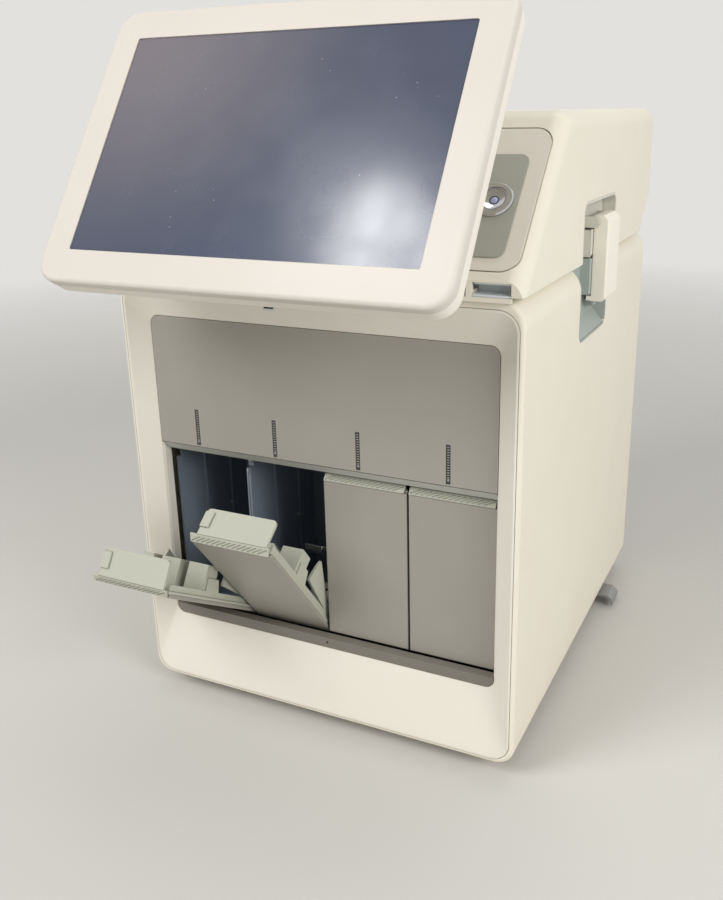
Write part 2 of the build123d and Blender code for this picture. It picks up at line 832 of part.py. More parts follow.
carriage_z = bay_roof_z + bay_wall + plunger_travel + carriage_rise
screw_y = drive_y + plunger_motor_back
plunger_motor_z = bay_roof_z + bay_wall
for n, x in enumerate(door_xs, 1):
    with BuildPart() as plunger_rod:
        with BuildSketch(Plane.XY.offset(bay_roof_z - plunger_tip_drop)):
            with Locations((x, drive_y)):
                Circle(plunger_radius)
        extrude(amount=carriage_z - bay_roof_z + plunger_tip_drop)
        with BuildSketch(Plane.XY.offset(carriage_z)) as carriage:
            with Locations((x, drive_y + plunger_motor_back / 2)):
                Rectangle(carriage_size[0], carriage_size[1])
            fillet(carriage.vertices(), 3)
        extrude(amount=carriage_size[2])
        with Locations(Plane.XY.offset(carriage_z + carriage_size[2])):
            with Locations((x, screw_y)):
                Hole(screw_radius + running_fit)
    save(plunger_rod, f"plunger_rod_{n}")

with BuildPart() as plunger_motors:
    for x in door_xs:
        with BuildSketch(Plane.XY.offset(plunger_motor_z)) as motor_outline:
            with Locations((x, screw_y)):
                Rectangle(plunger_motor_size[0], plunger_motor_size[1])
            chamfer(motor_outline.vertices(), 3)
        extrude(amount=plunger_motor_size[2])
        with BuildSketch(Plane.XY.offset(plunger_motor_z + plunger_motor_size[2])):
            with Locations((x, screw_y)):
                Circle(screw_radius)
        extrude(amount=carriage_z + carriage_size[2] + screw_over - plunger_motor_z - plunger_motor_size[2])
save(plunger_motors, "plunger_motors")

# Thermal and optics blocks behind the bays, each round a reaction tube slot
block_y = bay_back_y + bay_wall
block_z = door_base_z + thermal_block_up
with BuildPart() as thermal_optics_blocks:
    for x in door_xs:
        with BuildSketch(facing(block_y)):
            with Locations((x, block_z + thermal_block_size[2] / 2)):
                Rectangle(thermal_block_size[0], thermal_block_size[2])
                Rectangle(*tube_slot, mode=Mode.SUBTRACT)
        extrude(amount=-thermal_block_size[1])
        with BuildSketch(facing(block_y + thermal_block_size[1] / 2)):
            with Locations((x, block_z + thermal_block_size[2] / 2)):
                Rectangle(thermal_block_size[0] - 8, thermal_block_size[2] - 6)
        extrude(amount=-thermal_block_size[1] / 2)
save(thermal_optics_blocks, "thermal_optics_blocks")

# Cartridge catches: a bright lever head on an arm from the right-hand wall of each bay
catch_z = door_base_z + catch_up
catch_y = door_face_y + catch_in
with BuildPart() as cartridge_catches:
    for x in door_xs:
        with BuildSketch(Plane.XY.offset(catch_z)):
            with Locations((x + (catch_head_x + bay_inner) / 2, catch_y + catch_arm_width / 2)):
                Rectangle(bay_inner - catch_head_x, catch_arm_width)
        extrude(amount=catch_sheet)
        with BuildSketch(side_on(x + catch_head_x - catch_head_width / 2)):
            with BuildLine():
                Polyline(
                    (catch_y - 1, catch_z + catch_sheet),
                    (catch_y - 1, catch_z - 2),
                    (catch_y + 3, catch_z - catch_head_drop),
                    (catch_y + catch_head_length, catch_z - catch_head_drop + 1),
                    (catch_y + catch_head_length, catch_z + catch_sheet),
                    close=True,
                )
            make_face()
        extrude(amount=catch_head_width)
save(cartridge_catches, "cartridge_catches")

# Rear panel with its vents, fan hole, inlet and network openings
fan_z = base_z + fan_up
inlet_z = base_z + inlet_up
supply_y = panel_y - 8 - supply_size[1]
socket_xs = [socket_first_x + k * socket_pitch for k in range(socket_count)]
board_z = plate_top_z + board_standoff
socket_z = board_z + board_sheet + socket_block[2] / 2
panel_top_z = rear_opening_mid_z + rear_opening_height / 2 + rear_panel_lap
panel_bottom_z = rear_opening_mid_z - rear_opening_height / 2 - rear_panel_lap
panel_half = rear_opening_width / 2 + rear_panel_lap
with BuildPart() as rear_panel:
    with BuildSketch(facing(panel_y)):
        with Locations((0, rear_opening_mid_z)):
            RectangleRounded(2 * panel_half, panel_top_z - panel_bottom_z, 8)
    extrude(amount=-rear_panel_thickness)
    with BuildSketch(facing(panel_y)):
        for row_z in (vent_low_z, vent_high_z):
            with Locations((vent_x, base_z + row_z)):
                with GridLocations(vent_pitch, 1, vent_count, 1):
                    SlotCenterToCenter(vent_slot[1] - vent_slot[0], vent_slot[0], rotation=90)
        with Locations((fan_x, fan_z)):
            Circle(fan_bore)
        with Locations((inlet_x, inlet_z)):
            Rectangle(inlet_body[0] + 2 * bezel_gap, inlet_body[1] + 2 * bezel_gap)
        for x in socket_xs:
            with Locations((x, socket_z)):
                Rectangle(socket_block[0] + 2 * bezel_gap, socket_block[2] + 2 * bezel_gap)
        with Locations((fan_x, fan_z)):
            with GridLocations(guard_screw_spread, guard_screw_spread, 2, 2):
                Circle(screw_hole_radius)
    extrude(amount=-rear_panel_thickness, mode=Mode.SUBTRACT)
save(rear_panel, "rear_panel")

# Exhaust fan inside the rear panel: frame, rotor and wire guard outside
fan_front_y = panel_y - fan_depth
with BuildPart() as exhaust_fan_frame:
    with BuildSketch(facing(fan_front_y)):
        with Locations((fan_x, fan_z)):
            RectangleRounded(fan_size, fan_size, 4)
            Circle(fan_bore, mode=Mode.SUBTRACT)
            with GridLocations(guard_screw_spread, guard_screw_spread, 2, 2):
                Circle(screw_hole_radius, mode=Mode.SUBTRACT)
    extrude(amount=-fan_depth)
    with BuildSketch(facing(fan_front_y)):
        with Locations((fan_x, fan_z)):
            Circle(fan_hub - 1)
            for angle in (45, 135):
                Rectangle(2 * fan_bore + 2, 4, rotation=angle)
    extrude(amount=-fan_strut)
    with BuildSketch(facing(fan_front_y + fan_strut)):
        with Locations((fan_x, fan_z)):
            Circle(fan_spindle)
    extrude(amount=-(fan_depth - fan_strut - 3))
save(exhaust_fan_frame, "exhaust_fan_frame")

rotor_y = fan_front_y + fan_strut + 0.5
rotor_depth = fan_depth - fan_strut - 4.5
with BuildPart() as fan_rotor:
    with BuildSketch(facing(rotor_y)):
        with Locations((fan_x, fan_z)):
            Circle(fan_hub)
    extrude(amount=-rotor_depth)
    for k in range(fan_blade_count):
        blade_angle = 360 / fan_blade_count * k
        blade_plane = Plane(
            origin=(fan_x, rotor_y + rotor_depth / 2, fan_z),
            x_dir=(0, 1, 0),
            z_dir=(math.cos(math.radians(blade_angle)), 0, math.sin(math.radians(blade_angle))),
        )
        with BuildSketch(blade_plane):
            Rectangle(fan_blade_chord, fan_blade_sheet, rotation=fan_blade_pitch_deg)
        extrude(amount=fan_blade_tip)
    with BuildSketch(facing(rotor_y)):
        with Locations((fan_x, fan_z)):
            Circle(fan_spindle + running_fit)
    extrude(amount=-rotor_depth, mode=Mode.SUBTRACT)
save(fan_rotor, "fan_rotor")

with BuildPart() as fan_guard:
    with BuildSketch(facing(rear_wall_y)):
        with Locations((fan_x, fan_z)):
            for k in range(guard_ring_count):
                ring = guard_inner + k * guard_ring_pitch
                Circle(ring + guard_wire / 2)
                Circle(ring - guard_wire / 2, mode=Mode.SUBTRACT)
            for angle in (45, 135):
                Rectangle(guard_screw_spread * math.sqrt(2), guard_wire, rotation=angle)
            Circle(guard_inner - guard_wire / 2)
            with GridLocations(guard_screw_spread, guard_screw_spread, 2, 2):
                Circle(screw_head_radius + 1)
                Circle(screw_hole_radius, mode=Mode.SUBTRACT)
    extrude(amount=-guard_thickness)
save(fan_guard, "fan_guard")

# Mains inlet with its rocker switch
inlet_face_y = rear_wall_y + inlet_flange[2]
socket_mid_z = inlet_z - inlet_body[1] / 2 + 4 + inlet_socket[1] / 2
rocker_z = inlet_z + inlet_body[1] / 2 - 5 - rocker_size[1] / 2
rocker_axis_y = inlet_face_y - rocker_sunk
with BuildPart() as power_inlet:
    with BuildSketch(facing(rear_wall_y)):
        with Locations((inlet_x, inlet_z)):
            RectangleRounded(inlet_flange[0], inlet_flange[1], 2)
    extrude(amount=-inlet_flange[2])
    with BuildSketch(facing(inlet_face_y)):
        with Locations((inlet_x, inlet_z)):
            Rectangle(inlet_body[0], inlet_body[1])
    extrude(amount=inlet_body[2])
    with BuildSketch(facing(inlet_face_y)) as socket_outline:
        with Locations((inlet_x, socket_mid_z)):
            Rectangle(inlet_socket[0], inlet_socket[1])
        chamfer(socket_outline.vertices().group_by(Axis.Y)[0], 4)
    extrude(amount=inlet_socket[2], mode=Mode.SUBTRACT)
    with BuildSketch(facing(inlet_face_y - inlet_socket[2])):
        for across, up in ((0, blade_rise), (-blade_spread, -blade_rise), (blade_spread, -blade_rise)):
            with Locations((inlet_x + across, socket_mid_z + up)):
                Rectangle(*blade_size)
    extrude(amount=-(inlet_socket[2] - blade_sunk))
    with BuildSketch(facing(inlet_face_y)):
        with Locations((inlet_x, rocker_z)):
            Rectangle(rocker_size[0] + 2 * rocker_gap, rocker_size[1] + 2 * rocker_end_gap)
    extrude(amount=rocker_size[2] + rocker_sunk, mode=Mode.SUBTRACT)
    with BuildSketch(side_on(inlet_x - rocker_size[0] / 2 - rocker_gap)):
        with Locations((rocker_axis_y, rocker_z)):
            Circle(rocker_pin_radius)
    extrude(amount=rocker_size[0] + 2 * rocker_gap)
save(power_inlet, "power_inlet")

# The rocker is pressed at its lower half: that half is down, the other half stands out
half_swing = math.radians(rocker_swing_deg / 2)
with BuildPart() as power_switch_rocker:
    with BuildSketch(side_on(inlet_x - rocker_size[0] / 2)):
        with BuildLine():
            crest = rocker_size[1] / 2 * math.sin(half_swing)
            reach = rocker_size[1] / 2 * math.cos(half_swing)
            Polyline(
                (rocker_axis_y + rocker_face, rocker_z),
                (rocker_axis_y + rocker_face + 2 * crest, rocker_z + reach),
                (rocker_axis_y - rocker_body, rocker_z + reach),
                (rocker_axis_y - rocker_body, rocker_z - reach),
                (rocker_axis_y + rocker_face, rocker_z - reach),
                close=True,
            )
        make_face()
        with Locations((rocker_axis_y, rocker_z)):
            Circle(rocker_pin_radius + running_fit, mode=Mode.SUBTRACT)
    extrude(amount=rocker_size[0])
save(power_switch_rocker, "power_switch_rocker")

# Power supply and gateway board on the base plate
with BuildPart() as power_supply:
    with BuildSketch(Plane.XY.offset(plate_top_z)):
        with Locations((supply_x, supply_y + supply_size[1] / 2)):
            Rectangle(supply_size[0], supply_size[1])
    extrude(amount=supply_size[2])
    with BuildSketch(Plane.XY.offset(plate_top_z + supply_size[2])):
        with Locations((supply_x, supply_y + supply_size[1] / 2)):
            with GridLocations(supply_slot_pitch, 1, supply_slot_count, 1):
                SlotCenterToCenter(supply_slot_length, supply_slot_width, rotation=90)
    extrude(amount=-supply_slot_depth, mode=Mode.SUBTRACT)
save(power_supply, "power_supply")

socket_face_y = rear_wall_y + 1.0
with BuildPart() as gateway_board:
    board_mid_x = sum(socket_xs) / len(socket_xs)
    with BuildSketch(Plane.XY.offset(board_z)):
        with Locations((board_mid_x, panel_y - board_back_gap - board_size[1] / 2)):
            Rectangle(board_size[0], board_size[1])
    extrude(amount=board_sheet)
    with BuildSketch(Plane.XY.offset(plate_top_z)):
        with Locations((board_mid_x, panel_y - board_back_gap - board_size[1] / 2)):
            with GridLocations(board_size[0] - 2 * board_post_in, board_size[1] - 2 * board_post_in, 2, 2):
                Circle(board_post_radius)
    extrude(amount=board_standoff)
    for x in socket_xs:
        with BuildSketch(facing(socket_face_y)):
            with Locations((x, socket_z)):
                Rectangle(socket_block[0], socket_block[2])
        extrude(amount=socket_block[1])
        with BuildSketch(facing(socket_face_y)):
            with Locations((x, socket_z)):
                Rectangle(socket_mouth[0], socket_mouth[2])
        extrude(amount=socket_mouth[1], mode=Mode.SUBTRACT)
    with BuildSketch(Plane.XY.offset(board_z + board_sheet)):
        with Locations((board_mid_x, panel_y - board_back_gap - board_size[1] * 0.64)):
            Rectangle(*large_chip)
        for side in (-1, 1):
            chip_y = panel_y - board_back_gap - board_size[1] * (0.59 + side * 0.14)
            with Locations((board_mid_x + side * board_size[0] * 0.27, chip_y)):
                Rectangle(*small_chip)
    extrude(amount=chip_height)
save(gateway_board, "gateway_board")

# Feet and the two sheet-metal side tabs at the rear
foot_ys = (front_y + foot_inset_front, rear_y - foot_inset_rear)
with BuildPart() as rubber_feet:
    for x in (-(half_width - foot_inset_x), half_width - foot_inset_x):
        for y in foot_ys:
            with BuildSketch(Plane.XY):
                with Locations((x, y)):
                    Circle(foot_radius)
            extrude(amount=foot_height, taper=-3)
save(rubber_feet, "rubber_feet")

tab_y = front_y + tab_back - tab_width / 2
with BuildPart() as side_foot_tabs:
    for side in (-1, 1):
        with BuildSketch(Plane(origin=(0, tab_y, 0), x_dir=(side, 0, 0), z_dir=(0, 1, 0))):
            with BuildLine():
                under_z = -base_z if side > 0 else base_z
                sign = -1 if side > 0 else 1
                inner = half_width - tab_root
                outer = half_width + tab_reach
                low = sign * (base_z - tab_drop)
                Polyline(
                    (inner, under_z),
                    (inner, under_z - sign * tab_sheet),
                    (outer - tab_bend - tab_sheet, under_z - sign * tab_sheet),
                    (outer - tab_sheet, low + sign * 2),
                    (outer - tab_sheet, low - sign * 1.5),
                    (outer, low - sign * 1.5),
                    (outer, low + sign * 3),
                    (outer - tab_bend, under_z),
                    close=True,
                )
            make_face()
        extrude(amount=tab_width)
save(side_foot_tabs, "side_foot_tabs")

# Controller housing: one rounded wedge form, cut hollow, with a recessed slope
slope = math.radians(top_slope_deg)
low_z = case_top + top_gap
top_z = low_z + top_height
nose_y = front_y - top_front_reach
nose_top_z = case_top + top_nose_height
top_front_y = nose_y + (top_z - nose_top_z) * math.tan(slope)
top_rear_y = front_y + top_rear_reach


def on_slope(up, x=0.0, out=0.0):
    # A plane on the sloped face, at a distance up it from its lower edge: X right, Y up the slope
    normal = Vector(0, -math.cos(slope), math.sin(slope))
    along = Vector(0, math.sin(slope), math.cos(slope))
    start = Vector(x, nose_y, nose_top_z) + along * up + normal * out
    return Plane(origin=start, x_dir=(1, 0, 0), z_dir=normal)


def wedge_form(inset):
    with BuildPart() as form:
        with BuildSketch(side_on(-(half_width - inset))):
            with BuildLine():
                Polyline(
                    (nose_y, low_z),
                    (nose_y, nose_top_z),
                    (top_front_y, top_z),
                    (top_rear_y, top_z),
                    (top_rear_y, low_z + top_rear_rise),
                    (top_rear_y - top_rear_tuck, low_z),
                    close=True,
                )
            make_face()
            if inset > 0:
                offset(amount=-inset, kind=Kind.INTERSECTION)
        extrude(amount=2 * (half_width - inset))
        for y, z, radius in (
            (top_front_y, top_z, top_front_round),
            (top_rear_y, top_z, top_rear_round),
            (top_rear_y, low_z + top_rear_rise, top_rear_low_round),
        ):
            corner = form.edges().filter_by(Axis.X).sort_by_distance((0, y, z))[0]
            fillet(corner, radius - inset)
        for end in (0, -1):
            rim = form.faces().sort_by(Axis.X)[end].edges()
            floor_z = form.part.bounding_box().min.Z
            front = form.part.bounding_box().min.Y
            soft = [e for e in rim if e.center().Z > floor_z + 1 and e.center().Y > front + 1]
            fillet(soft, top_side_round - inset)
    return form.part


def slot_spans():
    # The nose slot's clear lengths between its ribs, left to right
    ribs = [k * slot_rib_pitch for k in range(-slot_rib_pairs, slot_rib_pairs + 1)]
    starts = [-slot_half_width] + [x + slot_rib_width / 2 for x in ribs]
    ends = [x - slot_rib_width / 2 for x in ribs] + [slot_half_width]
    return list(zip(starts, ends))


slot_z = case_top + slot_bottom
floor_top_z = low_z + top_wall
opening_front_y = front_y + top_plate_inset
opening_rear_y = top_rear_y - top_rear_tuck - top_plate_inset
opening_mid_y = (opening_front_y + opening_rear_y) / 2
opening_half = half_width - top_plate_inset
panel_mid = panel_low + panel_length / 2
button_up = panel_low + button_up_panel
with BuildPart() as top_housing:
    add(wedge_form(0))
    with BuildSketch(facing(nose_y)):
        with Locations((0, case_top - nose_lip_drop / 2 + 1)):
            Rectangle(2 * slot_half_width, nose_lip_drop + 2)
    extrude(amount=-nose_lip_sheet)
    add(wedge_form(top_wall), mode=Mode.SUBTRACT)
    with BuildSketch(Plane.XY.offset(low_z)):
        with Locations((0, opening_mid_y)):
            RectangleRounded(2 * opening_half, opening_rear_y - opening_front_y, 6)
    extrude(amount=top_wall, mode=Mode.SUBTRACT)
    with BuildSketch(on_slope(panel_mid)):
        RectangleRounded(2 * panel_half_width, panel_length, panel_corner)
    extrude(amount=-panel_thickness, mode=Mode.SUBTRACT)
    with Locations(on_slope(button_up, button_x)):
        Hole(button_barrel_radius + bezel_gap, depth=2 * top_wall)
    with Locations(on_slope(panel_low + arm_foot_low + arm_foot_length / 2)):
        with GridLocations(arm_screw_spread[0], arm_screw_spread[1], 2, 2):
            Hole(screw_hole_radius, depth=2 * top_wall)
    for start, end in slot_spans():
        with BuildSketch(facing(nose_y)):
            with Locations(((start + end) / 2, slot_z + slot_height / 2)):
                Rectangle(end - start, slot_height)
        extrude(amount=-slot_depth, mode=Mode.SUBTRACT)
    for side in (-1, 1):
        add(well_cut(side, low_z - 1, well_top_z, well_rear_ys["upper"], upper=True), mode=Mode.SUBTRACT)
save(top_housing, "top_housing")

# Foot plate of the controller: it stands on the analyser and closes the housing
with BuildPart() as top_base_plate:
    with BuildSketch(Plane.XY.offset(case_top)):
        with Locations((0, opening_mid_y)):
            RectangleRounded(
                2 * (opening_half - bezel_gap),
                opening_rear_y - opening_front_y - 2 * bezel_gap,
                6 - bezel_gap,
            )
    extrude(amount=top_gap + top_wall)
    with BuildSketch(Plane.XY.offset(floor_top_z)):
        with Locations((0, opening_mid_y)):
            RectangleRounded(
                2 * (opening_half + top_plate_lap),
                opening_rear_y - opening_front_y + 2 * top_plate_lap,
                8,
            )
    extrude(amount=top_plate_flange)
save(top_base_plate, "top_base_plate")

# Sloped front panel in its recess, with a raised plate round the power button
with BuildPart() as sloped_front_panel:
    with BuildSketch(on_slope(panel_mid, out=-panel_thickness)):
        RectangleRounded(
            2 * (panel_half_width - panel_groove),
            panel_length - 2 * panel_groove,
            panel_corner - panel_groove,
        )
    extrude(amount=panel_thickness)
    with Locations(on_slope(button_up, button_x)):
        Hole(button_barrel_radius + bezel_gap, depth=2 * panel_thickness)
    with Locations(on_slope(panel_low + arm_foot_low + arm_foot_length / 2)):
        with GridLocations(arm_screw_spread[0], arm_screw_spread[1], 2, 2):
            Hole(screw_hole_radius, depth=2 * panel_thickness)
save(sloped_front_panel, "sloped_front_panel")

with BuildPart() as button_plate:
    with BuildSketch(on_slope(panel_low + plate_low + plate_length / 2)):
        RectangleRounded(2 * plate_half_width, plate_length, plate_corner)
        with Locations((0, arm_foot_low + arm_foot_length / 2 - plate_low - plate_length / 2)):
            RectangleRounded(
                2 * (arm_foot_half + bezel_gap), arm_foot_length + 2 * bezel_gap, 4, mode=Mode.SUBTRACT
            )
        with Locations((button_x, button_up_panel - plate_low - plate_length / 2)):
            Circle(button_barrel_radius + bezel_gap, mode=Mode.SUBTRACT)
    extrude(amount=plate_thickness)
save(button_plate, "button_plate")

# Power button: a ring with a closed barrel, and a dished cap that slides in it
button_bore_depth = button_cap_sunk + button_cap_length + button_travel + button_floor_gap
with BuildPart() as button_bezel_ring:
    with BuildSketch(on_slope(button_up, button_x, plate_thickness)):
        Circle(button_ring_radius)
    extrude(amount=button_ring_height)
    chamfer(button_bezel_ring.edges().filter_by(GeomType.CIRCLE).sort_by(Axis.Y)[0], 0.8)
    with BuildSketch(on_slope(button_up, button_x, plate_thickness)):
        Circle(button_barrel_radius)
    extrude(amount=-(button_bore_depth + button_barrel_floor - button_ring_height))
    with BuildSketch(on_slope(button_up, button_x, plate_thickness + button_ring_height)):
        Circle(button_cap_radius + button_slide_gap)
    extrude(amount=-button_bore_depth, mode=Mode.SUBTRACT)
save(button_bezel_ring, "button_bezel_ring")

button_face_out = plate_thickness + button_ring_height - button_cap_sunk
with BuildPart() as power_button:
    with BuildSketch(on_slope(button_up, button_x, button_face_out)):
        Circle(button_cap_radius)
    extrude(amount=-button_cap_length)
    dish_radius = (button_dish_radius**2 + button_dish_depth**2) / (2 * button_dish_depth)
    with Locations(on_slope(button_up, button_x, button_face_out + dish_radius - button_dish_depth)):
        Sphere(dish_radius, mode=Mode.SUBTRACT)
save(power_button, "power_button")

# Liner of the nose slot: a channel with a floor, a back and a ceiling between the ribs
with BuildPart() as nose_slot_liner:
    with BuildSketch(Plane.XY.offset(floor_top_z)):
        with Locations((0, nose_y + slot_depth + slot_liner / 2)):
            Rectangle(2 * slot_half_width, slot_liner)
    extrude(amount=slot_z + slot_height - floor_top_z)
    for start, end in slot_spans():
        with BuildSketch(side_on(start + bezel_gap)):
            with BuildLine():
                Polyline(
                    (nose_y + 0.6, slot_z),
                    (nose_y + slot_depth, slot_z),
                    (nose_y + slot_depth, slot_z + slot_height),
                    (nose_y + top_wall, slot_z + slot_height),
                    (nose_y + top_wall, slot_z + slot_height - slot_liner),
                    (nose_y + slot_depth - slot_liner, slot_z + slot_height - slot_liner),
                    (nose_y + slot_depth - slot_liner, slot_z + slot_liner),
                    (nose_y + 0.6, slot_z + slot_liner),
                    close=True,
                )
            make_face()
        extrude(amount=end - start - 2 * bezel_gap)
save(nose_slot_liner, "nose_slot_liner")

# Controller board on standoffs on the foot plate
deck_z = floor_top_z + top_plate_flange
board_y = front_y + computer_board_y
standoff_grid = [side - 2 * standoff_in for side in computer_board_size]
with BuildPart() as computer_board:
    with BuildSketch(Plane.XY.offset(deck_z + computer_standoff)):
        with Locations((0, board_y)):
            Rectangle(computer_board_size[0], computer_board_size[1])
    extrude(amount=board_sheet)
    with BuildSketch(Plane.XY.offset(deck_z)):
        with Locations((0, board_y)):
            with GridLocations(*standoff_grid, 2, 2):
                Circle(standoff_radius)
    extrude(amount=computer_standoff)
    with BuildSketch(Plane.XY.offset(deck_z + computer_standoff + board_sheet)):
        with Locations((-heatsink_off, board_y)):
            Rectangle(heatsink_side, heatsink_side)
        with Locations((memory_off, board_y + memory_apart / 2), (memory_off, board_y - memory_apart / 2)):
            Rectangle(*memory_size)
    extrude(amount=computer_heatsink)
save(computer_board, "computer_board")

# Display arm: a foot on the sloped panel, a neck and the hinge barrel
display_y = front_y - display_centre_ahead
display_z = case_top + display_centre_over
face_normal = Vector(0, -math.cos(tilt), math.sin(tilt))
face_up = Vector(0, math.sin(tilt), math.cos(tilt))
display_centre = Vector(0, display_y, display_z)
back_d = display_frame_depth + display_back_depth
hinge_point = display_centre - face_up * hinge_below_centre - face_normal * (back_d + hinge_behind_cover)


def on_display(behind):
    # A plane parallel to the screen: X right, Y up the display, extruded backwards by minus amounts
    return Plane(origin=display_centre - face_normal * behind, x_dir=(1, 0, 0), z_dir=face_normal)


slope_plane = on_slope(0)
hinge_on_slope = slope_plane.to_local_coords(hinge_point)
hinge_up = hinge_on_slope.Y
hinge_out = hinge_on_slope.Z
with BuildPart() as display_arm:
    with BuildSketch(on_slope(panel_low + arm_foot_low + arm_foot_length / 2)):
        RectangleRounded(2 * arm_foot_half, arm_foot_length, 4)
    extrude(amount=arm_foot_thickness)
    with BuildSketch(on_slope(hinge_up, out=arm_foot_thickness - 1)):
        RectangleRounded(2 * arm_neck_half, arm_neck_thickness, 5)
    extrude(amount=hinge_out - arm_foot_thickness + 1)
    with BuildSketch(side_on(-hinge_barrel_half)):
        with Locations((hinge_point.Y, hinge_point.Z)):
            Circle(hinge_lug_radius)
    extrude(amount=2 * hinge_barrel_half)
    with BuildSketch(side_on(-hinge_barrel_half)):
        with Locations((hinge_point.Y, hinge_point.Z)):
            Circle(hinge_pin_radius + running_fit)
    extrude(amount=2 * hinge_barrel_half, mode=Mode.SUBTRACT)
    with Locations(on_slope(panel_low + arm_foot_low + arm_foot_length / 2, out=arm_foot_thickness)):
        with GridLocations(arm_screw_spread[0], arm_screw_spread[1], 2, 2):
            Hole(screw_hole_radius, depth=2 * arm_foot_thickness)
save(display_arm, "display_arm")

lug_outer_x = hinge_barrel_half + hinge_side_gap + hinge_lug_width
with BuildPart() as display_hinge_pins:
    for side in (-1, 1):
        low_x = min(side * lug_outer_x, side * (hinge_barrel_half - hinge_pin_grip))
        with BuildSketch(side_on(low_x)):
            with Locations((hinge_point.Y, hinge_point.Z)):
                Circle(hinge_pin_radius)
        extrude(amount=hinge_side_gap + hinge_lug_width + hinge_pin_grip)
save(display_hinge_pins, "display_hinge_pins")

# Display: front frame, touch glass, panel and a back cover with the hinge lugs
with BuildPart() as display_front_frame:
    with BuildSketch(on_display(0)):
        RectangleRounded(display_width, display_height, display_corner)
    extrude(amount=-display_frame_depth)
    front_rim = display_front_frame.faces().sort_by(Axis(display_centre, face_normal))[-1].edges()
    fillet(front_rim, display_edge_round)
    with BuildSketch(on_display(0)):
        RectangleRounded(screen_width, screen_height, 1.5)
    extrude(amount=-glass_recess, mode=Mode.SUBTRACT)
    with BuildSketch(on_display(glass_recess)):
        RectangleRounded(screen_width + 2 * glass_lap, screen_height + 2 * glass_lap, 2)
    extrude(amount=-glass_thickness, mode=Mode.SUBTRACT)
    with BuildSketch(on_display(glass_recess + glass_thickness)):
        RectangleRounded(screen_width, screen_height, 2)
    extrude(amount=-display_frame_depth, mode=Mode.SUBTRACT)
save(display_front_frame, "display_front_frame")

with BuildPart() as touch_glass:
    with BuildSketch(on_display(glass_recess)):
        RectangleRounded(
            screen_width + 2 * glass_lap - bezel_gap, screen_height + 2 * glass_lap - bezel_gap, 1.8
        )
    extrude(amount=-glass_thickness)
save(touch_glass, "touch_glass")

with BuildPart() as lcd_panel:
    with BuildSketch(on_display(glass_recess + glass_thickness)):
        Rectangle(screen_width - 2 * lcd_gap, screen_height - 2 * lcd_gap)
    extrude(amount=-lcd_thickness)
save(lcd_panel, "lcd_panel")

with BuildPart() as display_back_cover:
    with BuildSketch(on_display(display_frame_depth)):
        RectangleRounded(
            display_width - 2 * display_parting,
            display_height - 2 * display_parting,
            display_corner - display_parting,
        )
    extrude(amount=-display_back_depth)
    back_rim = display_back_cover.faces().sort_by(Axis(display_centre, face_normal))[0].edges()
    fillet(back_rim, display_back_round)
    with BuildSketch(on_display(display_frame_depth)):
        RectangleRounded(
            display_width - 2 * display_wall - 8,
            display_height - 2 * display_wall - 8,
            display_corner - display_wall,
        )
    extrude(amount=-(display_back_depth - display_wall), mode=Mode.SUBTRACT)
    for side in (-1, 1):
        low_x = min(side * lug_outer_x, side * (hinge_barrel_half + hinge_side_gap))
        with BuildSketch(side_on(low_x)):
            with BuildLine():
                root = hinge_point + face_normal * hinge_behind_cover
                lug_up = face_up * hinge_lug_radius
                tip = hinge_point - face_normal * hinge_lug_radius
                low_side = hinge_point - lug_up
                high_side = hinge_point + lug_up
                low_root = root - lug_up * 1.6 + face_normal
                high_root = root + lug_up * 1.6 + face_normal
                Polyline(
                    (low_side.Y, low_side.Z),
                    (low_root.Y, low_root.Z),
                    (high_root.Y, high_root.Z),
                    (high_side.Y, high_side.Z),
                )
                ThreePointArc((high_side.Y, high_side.Z), (tip.Y, tip.Z), (low_side.Y, low_side.Z))
            make_face()
            with Locations((hinge_point.Y, hinge_point.Z)):
                Circle(hinge_pin_radius + running_fit, mode=Mode.SUBTRACT)
        extrude(amount=hinge_lug_width)
save(display_back_cover, "display_back_cover")

